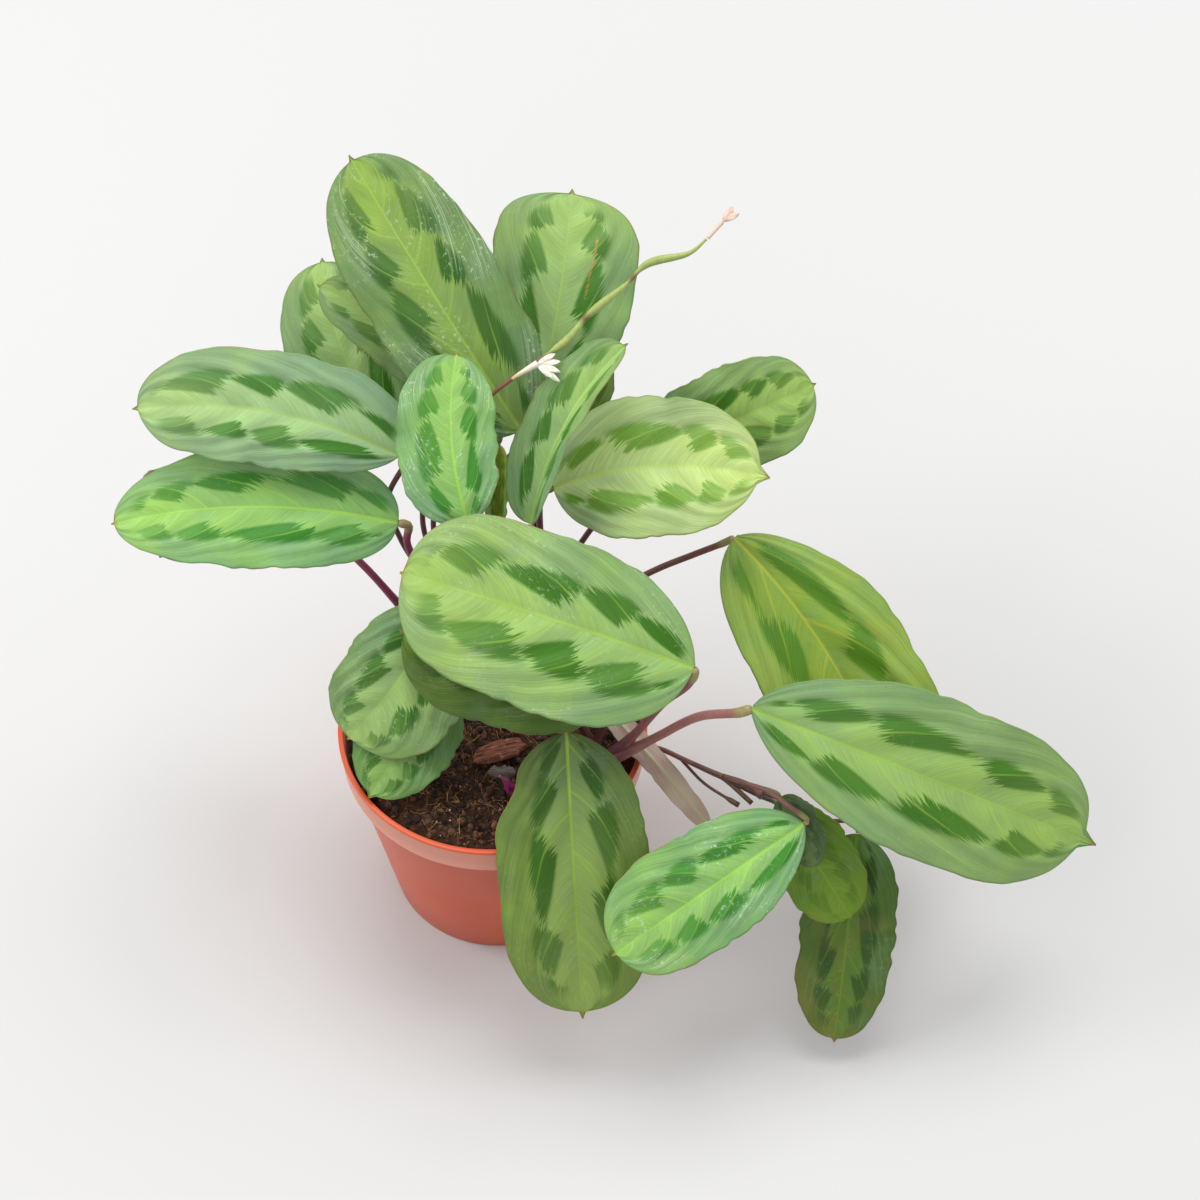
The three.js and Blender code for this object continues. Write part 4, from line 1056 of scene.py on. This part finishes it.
def potMaterial():
    # Moulded plastic: an even colour with faint flow marks and fine rings, with painted shade darkening the
    # foot and a painted reflection paling the collar.
    material, tree = newMaterial("potPlastic")
    place = objectPlace(tree)
    height = unpack(tree, place)[2]
    broad, grain = noise(tree, place, 18.0, 3.0), noise(tree, place, 900.0, 2.0)
    colour = blend(tree, ramp(tree, broad, 0.3, 0.75), tone(196, 76, 38), tone(212, 94, 54))
    # Painted shade: the foot is darkened, most at the floor and fading out 30 mm up.
    low = fade(tree, timesPlus(tree, broad, 0.02, height), 0.0, 0.03, 0.35)
    colour = blend(tree, low, colour, tone(150, 78, 56))
    # Painted reflection: above the collar the plastic is paled towards pale pink, as if it mirrored the
    # bright room.
    collar = ramp(tree, height, pot["collar"] * mm, (pot["collar"] + 1) * mm, 0.0, 0.75)
    colour = blend(tree, collar, colour, tone(228, 162, 140))
    band = ramp(tree, height, pot["band"] * mm, (pot["band"] + 0.5) * mm)
    colour = blend(tree, band, colour, tone(216, 88, 44))
    specks = ramp(tree, noise(tree, place, 320.0, 4.0, 0.7), 0.66, 0.74, 0.0, 0.5)
    colour = blend(tree, specks, colour, tone(150, 96, 74))
    given = {"W": times(tree, height, 900.0), "Scale": 1.0}
    rings = addNode(tree, "ShaderNodeTexNoise", given, noise_dimensions="1D")["Fac"]
    look = {"Base Color": colour, "Roughness": timesPlus(tree, broad, 0.16, 0.3)}
    finishMaterial(tree, look, timesPlus(tree, rings, 0.5, grain), 0.12, 0.2)
    return material


# Soil: the frame's mound, roughened by bumps (height, cell and seed), with crumbs, fibres and white
# grains on it.
soil = {
    "level": 89, "mound": 2.5, "radius": 56.5, "rows": 96, "sides": 260, "crumbs": 5200, "fibres": 950,
    "grains": 110, "seed": 11, "wall": [(56.0, 84), (53.2, 79), (41, 5), (39, 3.8)],
    "bumps": ((0.7, 3.1, 1), (0.55, 1.4, 2), (0.35, 0.65, 3)), "edgeDrop": 1.2, "edge": (52, 57),
    "strewn": 55.0, "clear": 0.5, "crumbSize": (0.28, 1.7), "crumbShares": (0.3, 0.28, 0.18, 0.09, 0.15),
    "crumbTones": ((44, 30, 23), (70, 48, 35), (96, 66, 46), (124, 84, 58), (28, 20, 16)),
    "grainSize": (0.18, 0.4), "grainTone": (226, 220, 208), "fibrePoints": 9, "fibreRadius": (0.06, 0.16),
    "fibreLength": (1.5, 10), "fibresWithin": 53.0, "fibreEnds": 55.5,
    "fibreTones": ((120, 82, 54), (186, 142, 92)),
}


def soilHeight(x, y):
    # A low mound, mound (1 - r^2), with long waves.
    reach = np.hypot(x, y) / pot["rim"]
    waves = 0.8 * np.sin(x / 5.3 + 1) * np.cos(y / 4.7) + 0.5 * np.sin(x / 2.9 + y / 3.7)
    return soil["level"] + soil["mound"] * (1 - reach * reach) + waves


def roughSoil(x, y):
    rough = sum(height * latticeNoise(x, y, cell, seed) for height, cell, seed in soil["bumps"])
    return soilHeight(x, y) + rough - soil["edgeDrop"] * smoothStep(*soil["edge"], np.hypot(x, y))


def soilMaterial():
    material, tree = newMaterial("pottingSoil")
    place = objectPlace(tree)
    broad, crumb = noise(tree, place, 60.0, 3.0), noise(tree, place, 420.0, 4.0, 0.7)
    fleck = noise(tree, place, 1100.0, 2.0)
    colour = blend(tree, ramp(tree, broad, 0.3, 0.7), tone(38, 26, 20), tone(76, 52, 38))
    colour = blend(tree, ramp(tree, crumb, 0.45, 0.75, 0.0, 0.8), colour, tone(110, 78, 56))
    colour = blend(tree, ramp(tree, fleck, 0.6, 0.8, 0.0, 0.6), colour, tone(20, 14, 11))
    look = {"Base Color": colour, "Roughness": 0.95, "Specular IOR Level": 0.2}
    finishMaterial(tree, look, timesPlus(tree, fleck, 0.5, crumb), 0.8, 1)
    return material


def makeSoil():
    angle = np.linspace(0, 2 * np.pi, soil["sides"], endpoint=False)
    radii = soil["radius"] * np.linspace(1 / soil["rows"], 1, soil["rows"])[:, None]
    x, y = radii * np.cos(angle), radii * np.sin(angle)
    top = np.stack([x, y, roughSoil(x, y)], -1)
    rings = np.concatenate([top, turnedRings(soil["wall"], soil["sides"])])
    middle, bottom = roughSoil(np.zeros(1), np.zeros(1))[0], soil["wall"][-1][1]
    shape = insideOut(closedRings(rings, (0, 0, middle), (0, 0, bottom)))
    settle(makePiece("soil_bed", shape, [soilMaterial()]), "soil")


def scattered(count, seed, limit=soil["strewn"]):
    draw = np.random.default_rng(seed)
    radius = limit * np.sqrt(draw.uniform(0, 1, count))
    angle = draw.uniform(0, 2 * np.pi, count)
    return draw, radius * np.cos(angle), radius * np.sin(angle)


def lumps(draw, centres, sizes):
    # Copies of an icosahedron, each with its own stretch, turn and corners.
    golden = (1 + 5 ** 0.5) / 2
    first = [(0, a, b * golden) for a in (-1, 1) for b in (-1, 1)]
    second, third = [(b, 0, a) for _, a, b in first], [(a, b, 0) for _, a, b in first]
    corners = unit(np.array(first + second + third, float))
    near = np.linalg.norm(corners[:, None] - corners[None], axis=-1) < 1.1
    faces = []
    for i, j, k in itertools.combinations(range(12), 3):
        if near[i, j] and near[j, k] and near[i, k]:
            outward = np.cross(corners[j] - corners[i], corners[k] - corners[i]) @ corners[i] > 0
            faces.append((i, j, k) if outward else (i, k, j))
    count = len(centres)
    stretch = draw.uniform(0.6, 1.25, (count, 1, 3)) * draw.uniform(0.8, 1.2, (count, 12, 1))
    turn, _ = np.linalg.qr(draw.normal(size=(count, 3, 3)))
    turn *= np.sign(np.linalg.det(turn))[:, None, None]
    points = np.einsum("nij,nkj->nki", turn, corners[None] * stretch)
    points = points * sizes[:, None, None] + centres[:, None]
    faces = np.array(faces)[None] + 12 * np.arange(count)[:, None, None]
    return points.reshape(-1, 3), faces.reshape(-1, 3)


def tintedMaterial(name, roughness):
    material, tree = newMaterial(name)
    grain = noise(tree, objectPlace(tree), 1500.0, 2.0)
    colour = shadeBy(tree, tintOf(tree), timesPlus(tree, grain, 0.8, 0.6))
    finishMaterial(tree, {"Base Color": colour, "Roughness": roughness}, grain, 0.5, 0.3)
    return material


def clearOfPlants(x, y, spare):
    clear = np.ones_like(x, bool)
    for crown in crowns.values():
        clear &= np.hypot(x - crown["x"], y - crown["y"]) > crown["radius"] + spare
    return clear


def strew(name, shape, material, smooth=False):
    settle(makePiece(name, shape, [material], smooth=smooth), None)


def makeCrumbs():
    draw, x, y = scattered(soil["crumbs"], soil["seed"])
    keep = clearOfPlants(x, y, soil["clear"])
    x, y = x[keep], y[keep]
    least, more = soil["crumbSize"]
    sizes = least + more * draw.uniform(0, 1, len(x)) ** 5
    centres = np.stack([x, y, roughSoil(x, y) + 0.2 * sizes], -1)
    points, faces = lumps(draw, centres, sizes)
    shades = np.array([tone(*shade) for shade in soil["crumbTones"]])
    tints = np.repeat(shades[draw.choice(len(shades), len(x), p=soil["crumbShares"])], 12, axis=0)
    strew("soil_crumbs", (points, faces, tints), tintedMaterial("crumbs", 0.95))


def makeGrains():
    draw, x, y = scattered(soil["grains"], soil["seed"] + 1)
    least, more = soil["grainSize"]
    sizes = least + more * draw.uniform(0, 1, len(x)) ** 2
    points, faces = lumps(draw, np.stack([x, y, roughSoil(x, y) + 0.2], -1), sizes)
    tints = np.tile(np.array(tone(*soil["grainTone"])), (len(points), 1))
    strew("soil_grains", (points, faces, tints), tintedMaterial("whiteGrains", 0.8))


def makeFibres():
    # Each fibre is an arc that lies on the soil, lifted in its middle and thinner towards one end.
    draw, x, y = scattered(soil["fibres"], soil["seed"] + 2, soil["fibresWithin"])
    parts, count = [], soil["fibrePoints"]
    least, more = soil["fibreLength"]
    first, second = (tone(*shade) for shade in soil["fibreTones"])
    for index in range(soil["fibres"]):
        length = least + more * draw.uniform(0, 1) ** 2.5
        turn, curl = draw.uniform(0, 2 * np.pi), draw.normal(0, 0.08)
        heading = turn + curl * np.linspace(-0.5, 0.5, count) * length
        fx = x[index] + np.cumsum(np.cos(heading)) * length / count
        fy = y[index] + np.cumsum(np.sin(heading)) * length / count
        out = np.maximum(np.hypot(fx, fy) / soil["fibreEnds"], 1)
        fx, fy = fx / out, fy / out
        fz = roughSoil(fx, fy) + 0.25 + draw.uniform(0, 1.4) * np.sin(np.pi * np.linspace(0, 1, count))
        tint = mixed(first, second, np.full(count, draw.uniform(0, 1)))
        radius = np.linspace(1, 0.5, count) * draw.uniform(*soil["fibreRadius"])
        parts.append(tube(np.stack([fx, fy, fz], -1), radius, 5, tint))
    strew("soil_fibres", joined(parts), tintedMaterial("fibres", 0.8), smooth=True)


# What lies on the soil: a chip of bark and a dry sheath, and the tip of a new shoot.
bark = {
    "outline": [(-11, -2), (-5, -4.5), (6, -4), (11, -1), (9, 3.5), (0, 4.5), (-8, 3)],
    "thick": 3.4, "turn": 0.3, "at": (2.5, -13), "rings": 26, "sides": 120,
}
drySheath = {
    "from": (9.5, -23.5), "to": (-1.5, -23), "lift": 3.1, "width": 7, "arch": 0.5, "full": 2.4, "fold": -32,
    "droop": 0, "wave": 0.6, "pleat": 0, "ruffle": 0.5, "ragged": 0.9, "tone": "back", "rows": 60,
    "columns": 24, "clear": 0.35,
}
youngShoot = {
    "route": [(7.5, -28.5, 84), (7.5, -28.5, 91), (6, -29, 97), (3.5, -29.5, 102)], "step": 0.4, "sides": 28,
    "radius": 2.6, "thin": 0.85, "paleFrom": 96, "paleTo": 102,
}


def barkMaterial():
    material, tree = newMaterial("bark")
    given = {"Vector": objectPlace(tree), "Rotation": (0, 0, -bark["turn"])}
    along = addNode(tree, "ShaderNodeMapping", given)[0]
    grain = stretchedNoise(tree, along, (160, 1500, 900), 5.0, 0.65)
    colour = blend(tree, ramp(tree, grain, 0.35, 0.65), tone(84, 46, 34), tone(158, 98, 74))
    flake = stretchedNoise(tree, along, (260, 620, 620), 3.0)
    colour = blend(tree, ramp(tree, flake, 0.58, 0.72, 0.0, 0.7), colour, tone(196, 140, 108))
    finishMaterial(tree, {"Base Color": colour, "Roughness": 0.9}, grain, 0.9, 0.8)
    return material


def makeBark():
    # Rings run from the top's middle over the edge to the middle below. The distance out is the
    # outline's, times sin(v)^0.6, and the height is thick / 2 times cos(v)^0.5, ridged along the grain.
    corners = np.array(bark["outline"] + bark["outline"][:1], float)
    reached = np.linspace(0, len(bark["outline"]), bark["sides"], endpoint=False)
    edge = np.stack([np.interp(reached, np.arange(len(corners)), corners[:, axis]) for axis in range(2)], -1)
    edge = edge * (1 + 0.05 * latticeNoise(edge[:, :1], edge[:, 1:], 1.3, 21))
    v = np.linspace(0, np.pi, bark["rings"] + 2)[1:-1, None]
    flat = edge[None] * np.sin(v)[..., None] ** 0.6
    rise = np.sign(np.cos(v)) * np.abs(np.cos(v)) ** 0.5 * bark["thick"] / 2
    x, y = flat[..., 0], flat[..., 1]
    ridges = 0.5 * latticeNoise(x / 6, y, 0.7, 22) + 0.3 * latticeNoise(x, y, 1.1, 23)
    height = rise * (1 + 0.2 * ridges) + 0.35 * ridges * np.sign(rise)
    low, high = (np.array(corner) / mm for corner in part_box("bark_chip"))
    cos, sin = math.cos(bark["turn"]), math.sin(bark["turn"])
    flat = flat @ np.array([[cos, sin], [-sin, cos]]) + np.array(bark["at"])
    rings = np.concatenate([flat, height[..., None] + (low[2] + high[2]) / 2], -1)
    shape = insideOut(closedRings(rings, rings[0].mean(0), rings[-1].mean(0)))
    settle(makePiece("bark_flake", shape, [barkMaterial()]), "bark_chip")


def drySheathMaterial():
    material, tree = newMaterial("drySheath")
    lengths = addNode(tree, "ShaderNodeAttribute", {}, attribute_name="bladeMm")["Vector"]
    fibre = stretchedNoise(tree, lengths, (0.25, 3.5, 0), 4.0, 0.6)
    colour = blend(tree, ramp(tree, fibre, 0.35, 0.65), tone(74, 66, 64), tone(132, 122, 116))
    stain = noise(tree, objectPlace(tree), 260.0, 3.0)
    colour = blend(tree, ramp(tree, stain, 0.5, 0.7, 0.0, 0.6), colour, tone(104, 74, 60))
    finishMaterial(tree, {"Base Color": colour, "Roughness": 0.55}, fibre, 0.6, 0.5)
    return material


def makeDrySheath():
    # It lies above the highest of the soil below it.
    x, y = np.mgrid[-4:13, -27:-18]
    level = soilHeight(x, y).max() + drySheath["clear"] + drySheath["lift"]
    ends = {"base": (*drySheath["from"], level), "tip": (*drySheath["to"], level)}
    leaf = {**leafDefaults, **drySheath, **ends}
    husk = [drySheathMaterial()] * 3
    makeBlade("dry_sheath", "dry_sheath_husk", leaf, husk, leaf["rows"], leaf["columns"])


def youngShootMaterial():
    material, tree = newMaterial("youngShoot")
    place = objectPlace(tree)
    streak = stretchedNoise(tree, place, (1100, 1100, 120), 3.0, 0.6)
    colour = blend(tree, ramp(tree, streak, 0.35, 0.65), tone(104, 26, 78), tone(168, 62, 122))
    height = unpack(tree, place)[2]
    pale = ramp(tree, height, youngShoot["paleFrom"] * mm, youngShoot["paleTo"] * mm, 0.0, 0.6)
    colour = blend(tree, pale, colour, tone(190, 120, 150))
    finishMaterial(tree, {"Base Color": colour, "Roughness": 0.38}, streak, 0.35, 0.4)
    return material


def makeYoungShoot():
    # A pointed tube: its radius falls from radius to (1 - thin) of it, over the upper two thirds.
    centres = routePoints(youngShoot["route"], youngShoot["step"])
    u = np.linspace(0, 1, len(centres))
    radius = youngShoot["radius"] * (1 - youngShoot["thin"] * smoothStep(0.35, 1, u))
    shape = tube(centres, radius, youngShoot["sides"])[:2]
    settle(makePiece("young_shoot_tip", shape, [youngShootMaterial()]), "young_shoot")


def floorMaterial():
    material, tree = newMaterial("floor")
    finishMaterial(tree, {"Base Color": studio["floorTone"], "Roughness": studio["floorRoughness"]})
    return material


def makeFloor():
    side = studio["floorSize"] / 2 / mm
    corners = [(-side, -side, 0), (side, -side, 0), (side, side, 0), (-side, side, 0)]
    makePiece("floor", (corners, [(0, 1, 2, 3)]), [floorMaterial()], smooth=False)


makeCamera()
makeLamps()
makeFloor()
print("camera and lamps")
makeLeaves()
print("leaves")
makeShoots()
makeFlowerStalk()
makeFlowers()
print("stalks and flowers")
makePot()
makeSoil()
makeCrumbs()
makeGrains()
makeFibres()
makeBark()
makeDrySheath()
makeYoungShoot()
print("pot and soil")

print("finished")
